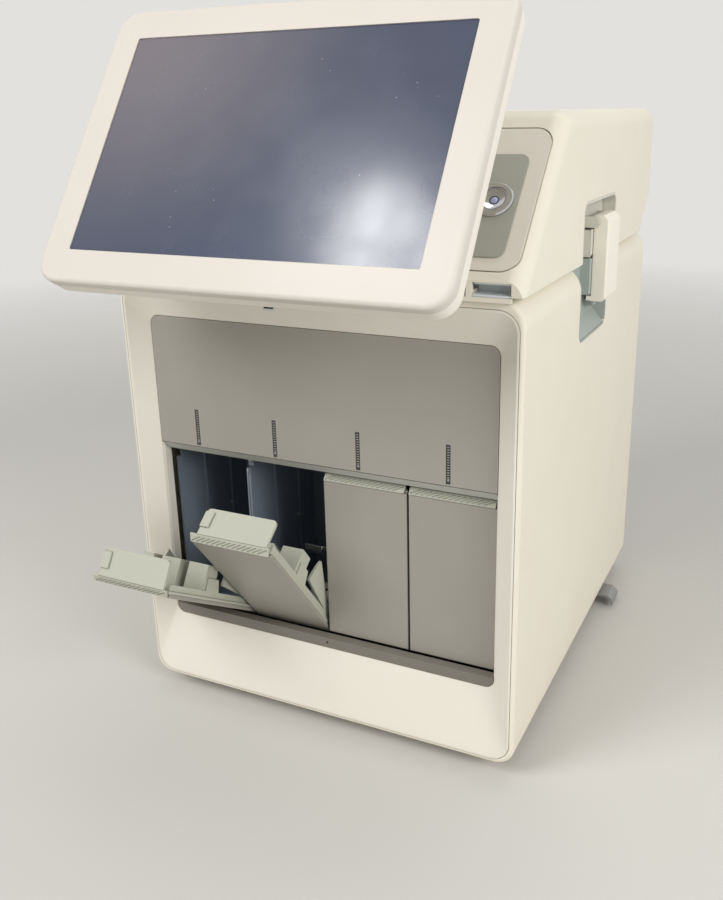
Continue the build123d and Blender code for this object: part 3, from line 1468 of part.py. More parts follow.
# Latch wells: grey liners let into the sides of both units, with ears for the arms
latch_y = front_y + latch_front
latch_low_z = case_top - latch_drop
latch_axis_z = latch_low_z + latch_length - latch_axis_down
latch_axis_x = half_width - latch_axis_in
ramp_z = well_bottom_z + well_ramp
with BuildPart() as latch_wells:
    for side in (-1, 1):
        lower_block = well_cut(side, well_bottom_z, case_top, well_rear_ys["lower"], upper=False)
        upper_block = well_cut(side, low_z, well_top_z, well_rear_ys["upper"], upper=True)
        add(lower_block & case_form.part)
        add(upper_block)
        pocket_front_y = well_front_y + well_liner
        lower_rear_y = well_rear_ys["lower"] - well_liner
        upper_rear_y = well_rear_ys["upper"] - well_liner
        low_x = min(side * well_floor_x, side * (half_width + 1))
        with BuildSketch(side_on(low_x)):
            with Locations(((pocket_front_y + lower_rear_y) / 2, (ramp_z + case_top + 1) / 2)):
                Rectangle(lower_rear_y - pocket_front_y, case_top + 1 - ramp_z)
        extrude(amount=well_depth + 1, mode=Mode.SUBTRACT)
        with BuildSketch(facing(pocket_front_y)):
            with BuildLine():
                Polyline(
                    (side * well_floor_x, ramp_z),
                    (side * (half_width + 1), ramp_z),
                    (side * (half_width + 1), well_bottom_z + 1.5),
                    (side * (half_width - 1), well_bottom_z + 1.5),
                    close=True,
                )
            make_face()
        extrude(amount=-(lower_rear_y - pocket_front_y), mode=Mode.SUBTRACT)
        with BuildSketch(side_on(low_x)) as upper_pocket:
            pocket_top_z = well_top_z - well_liner
            with Locations(((pocket_front_y + upper_rear_y) / 2, (low_z + pocket_top_z) / 2)):
                Rectangle(upper_rear_y - pocket_front_y, pocket_top_z - low_z)
            fillet(upper_pocket.vertices().group_by(Axis.Y)[-1], well_corner - well_liner)
        extrude(amount=well_depth + 1, mode=Mode.SUBTRACT)
        for ear_y in (latch_y - latch_ear_gap - latch_ear, latch_y + latch_width + latch_ear_gap):
            with BuildSketch(facing(ear_y)):
                with Locations((side * latch_axis_x, latch_axis_z)):
                    Circle(latch_knuckle_radius - 0.5)
                with Locations((side * (well_floor_x - 0.5 + latch_axis_x) / 2, latch_axis_z)):
                    Rectangle(latch_axis_x - well_floor_x + 0.5, 2 * latch_knuckle_radius - 1)
            extrude(amount=-latch_ear)
        with BuildSketch(facing(latch_y - latch_ear_gap - latch_ear)):
            with Locations((side * latch_axis_x, latch_axis_z)):
                Circle(latch_pin_radius)
        extrude(amount=-(latch_width + 2 * latch_ear_gap + 2 * latch_ear))
        with BuildSketch(facing(latch_y + keeper_inset)):
            keeper_z = latch_low_z - keeper_gap - keeper_height / 2
            with Locations((side * (well_floor_x - 0.5 + keeper_x) / 2, keeper_z)):
                Rectangle(keeper_x - well_floor_x + 0.5, keeper_height)
        extrude(amount=-(latch_width - 2 * keeper_inset))
        pad_face_x = half_width + latch_proud - latch_thickness - latch_pad_clearance
        hook_top_z = latch_low_z + latch_hook_height
        knuckle_low_z = latch_axis_z - latch_knuckle_radius
        for pad_low_z, pad_high_z in (
            (hook_top_z + latch_pad_gap, case_top),
            (low_z, knuckle_low_z - latch_pad_clearance),
        ):
            with BuildSketch(facing(latch_y - latch_pad_ahead)):
                with Locations((side * (well_floor_x - 0.5 + pad_face_x) / 2, (pad_low_z + pad_high_z) / 2)):
                    Rectangle(pad_face_x - well_floor_x + 0.5, pad_high_z - pad_low_z)
            extrude(amount=-(latch_width + latch_pad_ahead))
save(latch_wells, "latch_wells")

# Latch arms: bevelled levers hanging from the controller over the analyser's keepers
for side, name in ((1, "latch_arm_right"), (-1, "latch_arm_left")):
    with BuildPart() as latch_arm:
        with BuildSketch(facing(latch_y)):
            with BuildLine():
                outer = half_width + latch_proud
                inner = outer - latch_thickness
                low = latch_low_z
                high = low + latch_length
                Polyline(
                    (side * inner, low),
                    (side * (outer - latch_bevel), low),
                    (side * outer, low + latch_bevel),
                    (side * outer, high - latch_top_bevel),
                    (side * (outer - latch_top_bevel), high),
                    (side * inner, high),
                    close=True,
                )
            make_face()
            with Locations((side * latch_axis_x, latch_axis_z)):
                Circle(latch_knuckle_radius)
            with Locations((side * (inner - latch_hook / 2 + 0.5), low + 0.4 + latch_hook_height / 2)):
                Rectangle(latch_hook + 1, latch_hook_height)
            with Locations((side * latch_axis_x, latch_axis_z)):
                Circle(latch_pin_radius + running_fit, mode=Mode.SUBTRACT)
        extrude(amount=-latch_width)
        outer_face = latch_arm.faces().sort_by(Axis.X)[-1 if side > 0 else 0]
        chamfer(outer_face.edges().filter_by(Axis.Z), 1.2)
    save(latch_arm, name)

# Case screws: rear panel corners, fan guard, and the foot of the display arm
guard_face_y = rear_wall_y + guard_thickness
with BuildPart() as case_screws:
    with BuildSketch(facing(guard_face_y)):
        with Locations((fan_x, fan_z)):
            with GridLocations(guard_screw_spread, guard_screw_spread, 2, 2):
                Circle(screw_head_radius)
    extrude(amount=-screw_head_height)
    with BuildSketch(facing(guard_face_y)):
        with Locations((fan_x, fan_z)):
            with GridLocations(guard_screw_spread, guard_screw_spread, 2, 2):
                Circle(screw_shank_radius)
    extrude(amount=screw_length)
    foot_plane = on_slope(panel_low + arm_foot_low + arm_foot_length / 2, out=arm_foot_thickness)
    with BuildSketch(foot_plane):
        with GridLocations(arm_screw_spread[0], arm_screw_spread[1], 2, 2):
            Circle(screw_head_radius)
    extrude(amount=screw_head_height)
    with BuildSketch(foot_plane):
        with GridLocations(arm_screw_spread[0], arm_screw_spread[1], 2, 2):
            Circle(screw_shank_radius)
    extrude(amount=-screw_length)
save(case_screws, "case_screws")
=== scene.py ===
import json
import math

import bmesh
import bpy
from mathutils import Matrix, Vector


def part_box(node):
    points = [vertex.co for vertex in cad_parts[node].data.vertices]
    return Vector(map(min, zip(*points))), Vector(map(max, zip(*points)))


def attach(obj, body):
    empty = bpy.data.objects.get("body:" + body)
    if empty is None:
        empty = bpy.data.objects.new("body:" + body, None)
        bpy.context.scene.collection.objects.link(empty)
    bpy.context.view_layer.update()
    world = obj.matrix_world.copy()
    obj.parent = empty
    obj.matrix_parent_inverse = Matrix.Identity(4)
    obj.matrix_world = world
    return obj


# Benchtop real-time PCR analyser: four tilt-out module doors, a wedge controller clipped on top,
# and a touch display on a tilting arm. The CAD nodes keep their shapes and get real finishes here,
# and the small fittings that the CAD leaves out are built around them.

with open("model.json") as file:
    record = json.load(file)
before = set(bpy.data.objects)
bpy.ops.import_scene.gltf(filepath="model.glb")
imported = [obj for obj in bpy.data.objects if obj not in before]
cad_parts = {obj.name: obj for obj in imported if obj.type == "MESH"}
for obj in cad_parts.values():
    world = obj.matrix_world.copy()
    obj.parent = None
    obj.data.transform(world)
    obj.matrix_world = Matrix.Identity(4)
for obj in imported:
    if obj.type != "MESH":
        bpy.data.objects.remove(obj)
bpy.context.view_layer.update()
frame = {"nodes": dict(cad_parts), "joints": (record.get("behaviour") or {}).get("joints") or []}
nodes = frame["nodes"]
print("frame loaded:", len(nodes), "nodes")

mm = 0.001
moduleCount = 4
frontward = (0, -1, 0)
rightward = (1, 0, 0)
backward = (0, 1, 0)


def linearColour(hexText):
    # The sRGB standard's own curve
    channels = [int(hexText[i:i + 2], 16) / 255 for i in (1, 3, 5)]
    return [c / 12.92 if c <= 0.04045 else ((c + 0.055) / 1.055) ** 2.4 for c in channels] + [1.0]


def addNode(tree, kind, settings=None, inputs=None):
    node = tree.nodes.new(kind)
    for key, value in (settings or {}).items():
        setattr(node, key, value)
    for key, value in (inputs or {}).items():
        if isinstance(value, bpy.types.NodeSocket):
            tree.links.new(value, node.inputs[key])
        else:
            node.inputs[key].default_value = value
    return node


# Materials


def patternScale(sizeMm):
    # Noise and cells are scaled by how many of them fit in a metre
    return 1000 / sizeMm


def newMaterial(name):
    material = bpy.data.materials.new(name)
    material.use_nodes = True
    material.node_tree.nodes.clear()
    return material, material.node_tree


def mouldedPlastic(name, finish):
    # Injection moulded plastic such as ABS: a fine spark texture, colour a touch uneven,
    # and painted shade darkening the creases
    material, tree = newMaterial(name)
    place = addNode(tree, "ShaderNodeTexCoord").outputs["Object"]
    mottle = addNode(tree, "ShaderNodeTexNoise", None,
                     {"Vector": place, "Scale": patternScale(finish["mottleMm"]), "Detail": 3.0})
    warm = addNode(tree, "ShaderNodeMix", {"data_type": "RGBA"},
                   {"Factor": mottle.outputs["Fac"], "A": linearColour(finish["colour"]),
                    "B": linearColour(finish["shade"])})
    # Painted shade: the colour darkens towards the crease colour where ambient occlusion finds a crease
    crease = addNode(tree, "ShaderNodeAmbientOcclusion", {"samples": 6},
                     {"Distance": finish["creaseMm"] * mm})
    creaseShadeAmount = addNode(tree, "ShaderNodeMapRange", None,
                           {"Value": crease.outputs["AO"], "From Min": finish["creaseFrom"][0],
                            "From Max": finish["creaseFrom"][1],
                            "To Min": finish["creaseShadeDark"], "To Max": 0.0})
    creaseShaded = addNode(tree, "ShaderNodeMix", {"data_type": "RGBA"},
                    {"Factor": creaseShadeAmount.outputs["Result"], "A": warm.outputs["Result"],
                     "B": linearColour(finish["creaseShadeColour"])})
    grain = addNode(tree, "ShaderNodeTexNoise", None,
                    {"Vector": place, "Scale": patternScale(finish["grainMm"]), "Detail": 2.0})
    # CAD edges are knife sharp: the Bevel node lets the light roll over them
    rounded = addNode(tree, "ShaderNodeBevel", {"samples": 4}, {"Radius": finish["edgeMm"] * mm})
    bump = addNode(tree, "ShaderNodeBump", None,
                   {"Height": grain.outputs["Fac"], "Strength": finish["grainStrength"],
                    "Distance": finish["grainDepthMm"] * mm, "Normal": rounded.outputs["Normal"]})
    gloss = addNode(tree, "ShaderNodeMapRange", None,
                    {"Value": mottle.outputs["Fac"],
                     "To Min": finish["roughness"] - finish["glossSwing"],
                     "To Max": finish["roughness"] + finish["glossSwing"]})
    shader = addNode(tree, "ShaderNodeBsdfPrincipled", None,
                     {"Base Color": creaseShaded.outputs["Result"], "Roughness": gloss.outputs["Result"],
                      "Normal": bump.outputs["Normal"], "IOR": finish["ior"]})
    addNode(tree, "ShaderNodeOutputMaterial", None, {"Surface": shader.outputs[0]})
    return material


def polishedPlastic(name, finish):
    # Polished ABS or polycarbonate: a clear reflective skin with faint wipe marks
    material, tree = newMaterial(name)
    place = addNode(tree, "ShaderNodeTexCoord").outputs["Object"]
    streakPlace = addNode(tree, "ShaderNodeMapping", None,
                          {"Vector": place, "Scale": finish["streakStretch"]})
    streaks = addNode(tree, "ShaderNodeTexNoise", None,
                      {"Vector": streakPlace.outputs["Vector"],
                       "Scale": patternScale(finish["streakMm"]), "Detail": 4.0})
    gloss = addNode(tree, "ShaderNodeMapRange", None,
                    {"Value": streaks.outputs["Fac"], "From Min": finish["streakFrom"][0],
                     "From Max": finish["streakFrom"][1], "To Min": finish["roughness"],
                     "To Max": finish["roughness"] + finish["streakRough"]})
    tone = addNode(tree, "ShaderNodeMix", {"data_type": "RGBA"},
                   {"Factor": streaks.outputs["Fac"], "A": linearColour(finish["colour"]),
                    "B": linearColour(finish["shade"])})
    rounded = addNode(tree, "ShaderNodeBevel", {"samples": 4}, {"Radius": finish["edgeMm"] * mm})
    shader = addNode(tree, "ShaderNodeBsdfPrincipled", None,
                     {"Base Color": tone.outputs["Result"], "Roughness": gloss.outputs["Result"],
                      "Normal": rounded.outputs["Normal"], "IOR": finish["ior"],
                      "Coat Weight": finish["coat"], "Coat Roughness": finish["coatRoughness"]})
    addNode(tree, "ShaderNodeOutputMaterial", None, {"Surface": shader.outputs[0]})
    return material


def metalSheet(name, finish):
    # Rolled, brushed, cast or painted metal: a stretched pattern leaves brush lines along one direction
    material, tree = newMaterial(name)
    place = addNode(tree, "ShaderNodeTexCoord").outputs["Object"]
    brushPlace = addNode(tree, "ShaderNodeMapping", None,
                         {"Vector": place, "Scale": finish["brushStretch"]})
    brush = addNode(tree, "ShaderNodeTexNoise", None,
                    {"Vector": brushPlace.outputs["Vector"], "Scale": patternScale(finish["brushMm"]),
                     "Detail": 3.0})
    tone = addNode(tree, "ShaderNodeMix", {"data_type": "RGBA"},
                   {"Factor": brush.outputs["Fac"], "A": linearColour(finish["colour"]),
                    "B": linearColour(finish["shade"])})
    gloss = addNode(tree, "ShaderNodeMapRange", None,
                    {"Value": brush.outputs["Fac"],
                     "To Min": finish["roughness"] - finish["glossSwing"],
                     "To Max": finish["roughness"] + finish["glossSwing"]})
    rounded = addNode(tree, "ShaderNodeBevel", {"samples": 4}, {"Radius": finish["edgeMm"] * mm})
    bump = addNode(tree, "ShaderNodeBump", None,
                   {"Height": brush.outputs["Fac"], "Strength": finish["brushStrength"],
                    "Distance": finish["brushDepthMm"] * mm, "Normal": rounded.outputs["Normal"]})
    shader = addNode(tree, "ShaderNodeBsdfPrincipled", None,
                     {"Base Color": tone.outputs["Result"], "Roughness": gloss.outputs["Result"],
                      "Metallic": finish["metallic"], "Normal": bump.outputs["Normal"]})
    addNode(tree, "ShaderNodeOutputMaterial", None, {"Surface": shader.outputs[0]})
    return material


def twoTonePlastic(name, finish):
    # Two mouldings that meet at a level seam and share one node: the lower one gets a colour of its own,
    # which on the fascia's rail is painted light, and a painted shadow line marks the seam
    material = mouldedPlastic(name, finish)
    tree = material.node_tree
    shader = next(n for n in tree.nodes if n.type == "BSDF_PRINCIPLED")
    upper = shader.inputs["Base Color"].links[0].from_socket
    place = addNode(tree, "ShaderNodeTexCoord").outputs["Object"]
    height = addNode(tree, "ShaderNodeSeparateXYZ", None, {"Vector": place}).outputs["Z"]
    below = addNode(tree, "ShaderNodeMath", {"operation": "LESS_THAN"},
                    {0: height, 1: finish["seamMm"] * mm})
    tone = addNode(tree, "ShaderNodeMix", {"data_type": "RGBA"},
                   {"Factor": below.outputs[0], "A": upper, "B": linearColour(finish["otherColour"])})
    # Painted shadow: a dark band along the seam
    atSeam = addNode(tree, "ShaderNodeMath", {"operation": "COMPARE"},
                     {0: height, 1: finish["seamMm"] * mm, 2: finish["seamWideMm"] * mm / 2})
    seamShadowed = addNode(tree, "ShaderNodeMix", {"data_type": "RGBA"},
                    {"Factor": atSeam.outputs[0], "A": tone.outputs["Result"],
                     "B": linearColour(finish["creaseShadeColour"])})
    tree.links.new(seamShadowed.outputs["Result"], shader.inputs["Base Color"])
    return material


def displayGlass(name, finish):
    # Hardened touch glass over an unlit panel: slate blue, with a painted reflection that pales it
    # towards one corner, a soft gloss with finger smears, and specks of dust
    material, tree = newMaterial(name)
    place = addNode(tree, "ShaderNodeTexCoord").outputs["Object"]
    clouds = addNode(tree, "ShaderNodeTexNoise", None,
                     {"Vector": place, "Scale": patternScale(finish["cloudMm"]), "Detail": 1.0})
    slate = addNode(tree, "ShaderNodeMix", {"data_type": "RGBA"},
                    {"Factor": clouds.outputs["Fac"], "A": linearColour(finish["colour"]),
                     "B": linearColour(finish["shade"])})
    # Painted reflection: the glass pales towards a point near one corner
    corner = addNode(tree, "ShaderNodeVectorMath", {"operation": "DISTANCE"},
                     {0: place, 1: Vector(finish["reflectionCorner"]) * mm})
    reflectionNear = addNode(tree, "ShaderNodeMapRange", {"interpolation_type": "SMOOTHSTEP"},
                         {"Value": corner.outputs["Value"], "From Min": 0.0,
                          "From Max": finish["reflectionReachMm"] * mm, "To Min": 1.0, "To Max": 0.0})
    paintedReflection = addNode(tree, "ShaderNodeMix", {"data_type": "RGBA"},
                    {"Factor": reflectionNear.outputs["Result"], "A": slate.outputs["Result"],
                     "B": linearColour(finish["reflectionColour"])})
    specks = addNode(tree, "ShaderNodeTexVoronoi", None,
                     {"Vector": place, "Scale": patternScale(finish["speckSpacingMm"])})
    speckNear = addNode(tree, "ShaderNodeMath", {"operation": "LESS_THAN"},
                        {0: specks.outputs["Distance"], 1: finish["speckSize"]})
    patches = addNode(tree, "ShaderNodeTexNoise", None,
                      {"Vector": place, "Scale": patternScale(finish["dustPatchMm"]), "Detail": 2.0})
    inPatch = addNode(tree, "ShaderNodeMath", {"operation": "GREATER_THAN"},
                      {0: patches.outputs["Fac"], 1: finish["dustPatchFrom"]})
    speck = addNode(tree, "ShaderNodeMath", {"operation": "MULTIPLY"},
                    {0: speckNear.outputs[0], 1: inPatch.outputs[0]})
    dusty = addNode(tree, "ShaderNodeMix", {"data_type": "RGBA"},
                    {"Factor": speck.outputs[0], "A": paintedReflection.outputs["Result"],
                     "B": linearColour(finish["speckColour"])})
    smears = addNode(tree, "ShaderNodeTexNoise", None,
                     {"Vector": place, "Scale": patternScale(finish["smearMm"]), "Detail": 5.0})
    gloss = addNode(tree, "ShaderNodeMapRange", None,
                    {"Value": smears.outputs["Fac"], "From Min": finish["smearFrom"][0],
                     "From Max": finish["smearFrom"][1], "To Min": finish["roughness"],
                     "To Max": finish["roughness"] + finish["smearRough"]})
    shader = addNode(tree, "ShaderNodeBsdfPrincipled", None,
                     {"Base Color": dusty.outputs["Result"], "Roughness": gloss.outputs["Result"],
                      "IOR": finish["ior"], "Coat Weight": finish["coat"],
                      "Coat Roughness": finish["coatRoughness"]})
    addNode(tree, "ShaderNodeOutputMaterial", None, {"Surface": shader.outputs[0]})
    return material


# Grain is drawn coarser than the real spark texture, so that it shows in the render
plain = {"ior": 1.53, "glossSwing": 0.04, "mottleMm": 60, "grainMm": 1.1, "grainStrength": 0.35,
         "grainDepthMm": 0.03, "edgeMm": 0.6, "creaseMm": 5, "creaseFrom": (0.25, 0.75),
         "creaseShadeDark": 0.45, "creaseShadeColour": "#8F8878"}
shellFinish = {**plain, "colour": "#EDE7D8", "shade": "#E6DFCE", "roughness": 0.42}
bezelFinish = {**plain, "colour": "#EAE6DA", "shade": "#E3DED1", "roughness": 0.45}
displayFinish = {**plain, "colour": "#D9D2C9", "shade": "#D3CCC3", "roughness": 0.38}
coverFinish = {**plain, "colour": "#F0EADF", "shade": "#EAE4D9", "roughness": 0.42}
# Painted light: the rail below the fascia's seam gets a paler grey, so that it reads as lit even though
# it faces down
fasciaFinish = {**plain, "colour": "#A09C93", "shade": "#98948B", "roughness": 0.44,
                "creaseShadeColour": "#4A4740", "creaseShadeDark": 0.6, "otherColour": "#BDBEB8", "seamMm": 207.4,
                "seamWideMm": 0.6}
sillFinish = {**plain, "colour": "#7C786F", "shade": "#757168", "roughness": 0.46}
doorFinish = {**plain, "colour": "#9F9B92", "shade": "#979389", "roughness": 0.42,
              "creaseShadeColour": "#44413A", "creaseShadeDark": 0.6}
linerFinish = {**plain, "colour": "#BDBEB0", "shade": "#B5B6A7", "roughness": 0.44, "creaseMm": 1.0,
               "creaseShadeColour": "#6C6B5F", "creaseShadeDark": 0.62, "creaseFrom": (0.64, 0.86), "edgeMm": 0.3}
panelFinish = {**plain, "colour": "#E4DED2", "shade": "#DCD5C8", "roughness": 0.5}
plateFinish = {**plain, "colour": "#A6A79C", "shade": "#9FA095", "roughness": 0.5}
slotFinish = {**plain, "colour": "#DFE6EA", "shade": "#D3DADE", "roughness": 0.5, "creaseShadeDark": 0.3}
wellFinish = {**plain, "colour": "#D3D1C5", "shade": "#CBC9BD", "roughness": 0.45,
              "creaseShadeColour": "#5B605B", "otherColour": "#A6AEA8", "seamMm": 335.5, "seamWideMm": 0.7}
latchFinish = {**plain, "colour": "#F8F3E5", "shade": "#F1EBDC", "roughness": 0.36, "edgeMm": 0.9}
driveFinish = {**plain, "colour": "#DADAD2", "shade": "#D0D0C8", "roughness": 0.4}
rungFinish = {**plain, "colour": "#98958D", "shade": "#8C8981", "roughness": 0.3, "grainStrength": 0.1}

darkPlain = {**plain, "creaseShadeColour": "#050505", "creaseShadeDark": 0.3}
fanFinish = {**darkPlain, "colour": "#1C1C1D", "shade": "#161617", "roughness": 0.42}
inletFinish = {**darkPlain, "colour": "#191919", "shade": "#131313", "roughness": 0.38}
rubberFinish = {**darkPlain, "colour": "#2A2A2A", "shade": "#222222", "roughness": 0.78,
                "grainStrength": 0.7}
boardFinish = {**darkPlain, "colour": "#1D5B35", "shade": "#174C2C", "roughness": 0.35}
motorFinish = {**darkPlain, "colour": "#2B2B2C", "shade": "#232324", "roughness": 0.5}

polished = {"ior": 1.58, "streakStretch": (1.0, 1.0, 0.12), "streakFrom": (0.35, 0.65), "edgeMm": 0.2,
            "coatRoughness": 0.06}
bayFinish = {**polished, "colour": "#79838F", "shade": "#6F7883", "roughness": 0.36, "streakMm": 45,
             "streakRough": 0.08, "edgeMm": 0.5, "coat": 0.12}
statusFinish = {**polished, "colour": "#2C2B33", "shade": "#222128", "roughness": 0.15, "streakMm": 4,
                "streakRough": 0.1, "coat": 0.3}
lcdFinish = {**polished, "colour": "#0D1118", "shade": "#0A0D12", "roughness": 0.2, "streakMm": 30,
             "streakRough": 0.05, "coat": 0.2}
ledFinish = {**polished, "colour": "#8E9192", "shade": "#7F8283", "roughness": 0.2, "streakMm": 3,
             "streakRough": 0.05, "coat": 0.5}
lensFinish = {**polished, "colour": "#A9B0CF", "shade": "#98A0C0", "roughness": 0.1, "streakMm": 6,
              "streakRough": 0.08, "coat": 0.8}
lensRingFinish = {**lensFinish, "colour": "#4A5070", "shade": "#3D4360"}

# The speck size is a share of the speck spacing, and specks lie only where the dust patches are dense
glassFinish = {"colour": "#313E58", "shade": "#3E4358", "cloudMm": 142.86, "ior": 1.52, "coat": 0.35,
               "coatRoughness": 0.12, "roughness": 0.2, "smearMm": 33.333, "smearFrom": (0.35, 0.7),
               "smearRough": 0.1, "speckSpacingMm": 5, "speckSize": 0.08, "speckColour": "#8B97A8",
               "dustPatchMm": 45.455, "dustPatchFrom": 0.62,
               "reflectionCorner": (-105, -150, 500), "reflectionReachMm": 190, "reflectionColour": "#716B72"}

metal = {"metallic": 1.0, "brushStretch": (1.0, 1.0, 1.0), "brushDepthMm": 0.02, "glossSwing": 0.06,
         "edgeMm": 0.3}
steelFinish = {**metal, "colour": "#C9C9C6", "shade": "#B5B5B2", "roughness": 0.3,
               "brushMm": 0.8, "brushStretch": (1.0, 0.08, 1.0), "brushStrength": 0.3}
zincFinish = {**metal, "colour": "#B9BAB6", "shade": "#A5A6A2", "roughness": 0.42, "metallic": 0.9,
              "brushMm": 6, "brushStrength": 0.15}
chromeFinish = {**metal, "colour": "#D9DBDD", "shade": "#CBCDD0", "roughness": 0.14, "brushMm": 1.2,
                "brushStrength": 0.1}
castFinish = {**metal, "colour": "#BEBEBA", "shade": "#ADADA9", "roughness": 0.5, "metallic": 0.7,
              "brushMm": 2, "brushStrength": 0.4}
rearFinish = {**metal, "colour": "#B7B5AE", "shade": "#ADABA4", "roughness": 0.5, "metallic": 0.2,
              "brushMm": 1.4, "brushStrength": 0.5}
tabFinish = {**metal, "colour": "#A4A6A5", "shade": "#949695", "roughness": 0.4, "metallic": 0.6,
             "brushMm": 1.4, "brushStretch": (1.0, 0.2, 1.0), "brushStrength": 0.3}

# Cream mouldings: a broad soft sheen over a faint grain
absShell = mouldedPlastic("mouldedAbsCream", shellFinish)
absBezel = mouldedPlastic("mouldedAbsBezel", bezelFinish)
absDisplay = mouldedPlastic("mouldedAbsWarmWhite", displayFinish)
absCover = mouldedPlastic("mouldedAbsCover", coverFinish)
absPanel = mouldedPlastic("mouldedAbsSlope", panelFinish)  # the dullest of them
absLatch = mouldedPlastic("mouldedAcetalWhite", latchFinish)  # waxy, with softer edges
acetalDrive = mouldedPlastic("machinedAcetal", driveFinish)
# Grey mouldings: a satin surface that dims evenly away from the lamps, with painted shade where parts
# meet
absFascia = twoTonePlastic("satinAbsGrey", fasciaFinish)
absSill = mouldedPlastic("satinAbsSillGrey", sillFinish)
absDoor = mouldedPlastic("satinAbsDoorGrey", doorFinish)
absLiner = mouldedPlastic("mouldedAbsPaleGrey", linerFinish)  # painted shade in the dark lines between the fine ribs
absPlate = mouldedPlastic("mouldedAbsPlateGrey", plateFinish)
absSlot = mouldedPlastic("mouldedAbsBlueGrey", slotFinish)  # painted light: paler than its real blue-grey, so that it reads inside the shaded slot
absWell = twoTonePlastic("mouldedAbsWellGrey", wellFinish)
lightGuide = mouldedPlastic("mouldedLightGuide", rungFinish)
# Dark plastics and rubber: near black, with only the highlights to show their shape
nylonFan = mouldedPlastic("mouldedNylonBlack", fanFinish)
nylonInlet = mouldedPlastic("mouldedThermosetBlack", inletFinish)
footRubber = mouldedPlastic("mouldedNitrileRubber", rubberFinish)  # no shine at all
boardEpoxy = mouldedPlastic("solderMaskedEpoxy", boardFinish)  # green, with a lacquer's gloss
motorBlack = mouldedPlastic("paintedMotorCan", motorFinish)
# Clear and polished plastics, and the screen: sharp reflections over a dark body
bayPolycarbonate = polishedPlastic("polishedPolycarbonateNavy", bayFinish)
statusWindow = polishedPlastic("smokedAcrylic", statusFinish)
lcdFilm = polishedPlastic("polarisingFilm", lcdFinish)
ledLens = polishedPlastic("clearEpoxyLens", ledFinish)
lensRing = polishedPlastic("tintedAcrylicRing", lensRingFinish)
buttonLens = polishedPlastic("tintedAcrylicLens", lensFinish)
touchGlass = displayGlass("hardenedGlass", glassFinish)
# Metals: bright and directional where brushed, grey and even where plated, cast or painted
brightSteel = metalSheet("brushedStainlessSteel", steelFinish)
zincSheet = metalSheet("zincPlatedSteel", zincFinish)
chromePlate = metalSheet("chromePlatedAbs", chromeFinish)  # a near mirror
castAluminium = metalSheet("blastedAluminium", castFinish)
rearPaint = metalSheet("texturedPaintOnSteel", rearFinish)
tabPaint = metalSheet("satinPaintedSteel", tabFinish)
print("materials made:", len(bpy.data.materials))

finishes = {
    absShell: ["outer_shell", "top_housing"],
    absBezel: ["front_bezel"],
    absFascia: ["upper_fascia"],
    absSill: ["sill_strip"],
    absDisplay: ["display_front_frame"],
    absCover: ["display_back_cover"],
    absPanel: ["sloped_front_panel"],
    absPlate: ["button_plate"],
    absSlot: ["nose_slot_liner"],
    absWell: ["latch_wells"],
    absLatch: ["latch_arm_right", "latch_arm_left"],
    statusWindow: ["status_light_bars"],
    touchGlass: ["touch_glass"],
    lcdFilm: ["lcd_panel"],
    chromePlate: ["button_bezel_ring", "power_button", "cartridge_catches"],
    brightSteel: ["door_hinge_pins", "display_hinge_pins", "case_screws", "fan_guard"],
    zincSheet: ["base_plate", "module_rack"],
    castAluminium: ["thermal_optics_blocks", "display_arm", "power_supply"],
    rearPaint: ["rear_panel", "top_base_plate"],
    tabPaint: ["side_foot_tabs"],
    nylonFan: ["exhaust_fan_frame", "fan_rotor"],
    nylonInlet: ["power_inlet", "power_switch_rocker"],
    footRubber: ["rubber_feet"],
    boardEpoxy: ["gateway_board", "computer_board"],
    motorBlack: ["valve_motors", "plunger_motors"],
}
moduleFinishes = {absDoor: "door_panel", absLiner: "door_liner", bayPolycarbonate: "module_bay",
                  acetalDrive: "valve_drive", brightSteel: "plunger_rod"}
for material, name in moduleFinishes.items():
    numbered = [f"{name}_{number}" for number in range(1, moduleCount + 1)]
    finishes[material] = finishes.get(material, []) + numbered
dressed = set()
for material, names in finishes.items():
    for name in names:
        dressed.add(name)
        if not nodes[name].material_slots:
            nodes[name].data.materials.append(material)
        for holder in nodes[name].material_slots:
            holder.link = "OBJECT"
            holder.material = material
print("finishes given:", len(dressed), "left plain:", sorted(set(nodes) - dressed))

# Small fittings that the CAD leaves out, each riding on the body that carries it


def addBar(form, centre, size, bevelMm, turn=None):
    # A rectangular bar with rounded arrises, in millimetres
    sizing = Matrix.Diagonal((*(Vector(size) * mm), 1))
    place = Matrix.Translation(Vector(centre) * mm) @ (turn or Matrix()) @ sizing
    corners = bmesh.ops.create_cube(form, size=1, matrix=place)["verts"]
    edges = list({edge for corner in corners for edge in corner.link_edges})
    bmesh.ops.bevel(form, geom=edges, offset=bevelMm * mm, segments=2, profile=0.6, affect="EDGES")


def addTurned(form, profile, centre, axis, steps=40, hollow=False):
    # A turned piece: radius and height pairs in millimetres, spun about an axis; a hollow one is a ring
    turn = Vector(axis).to_track_quat("Z", "Y").to_matrix().to_4x4()
    place = Matrix.Translation(Vector(centre) * mm) @ turn
    rings = []
    for radius, height in profile:
        ring = []
        for step in range(steps):
            angle = 2 * math.pi * step / steps
            spot = Vector((radius * math.cos(angle), radius * math.sin(angle), height)) * mm
            ring.append(form.verts.new(place @ spot))
        rings.append(ring)
    for inner, outer in zip(rings, rings[1:] + rings[:1] if hollow else rings[1:]):
        for step in range(steps):
            after = (step + 1) % steps
            form.faces.new((inner[step], outer[step], outer[after], inner[after]))
    if not hollow:
        form.faces.new(rings[0])
        form.faces.new(rings[-1])


# A screw's pan head, as radius and height pairs for a radius of one: its socket is a step in the profile
panHead = ((1.0, 0.0), (1.0, 0.34), (0.93, 0.5), (0.72, 0.62), (0.5, 0.64), (0.46, 0.3), (0.02, 0.26))


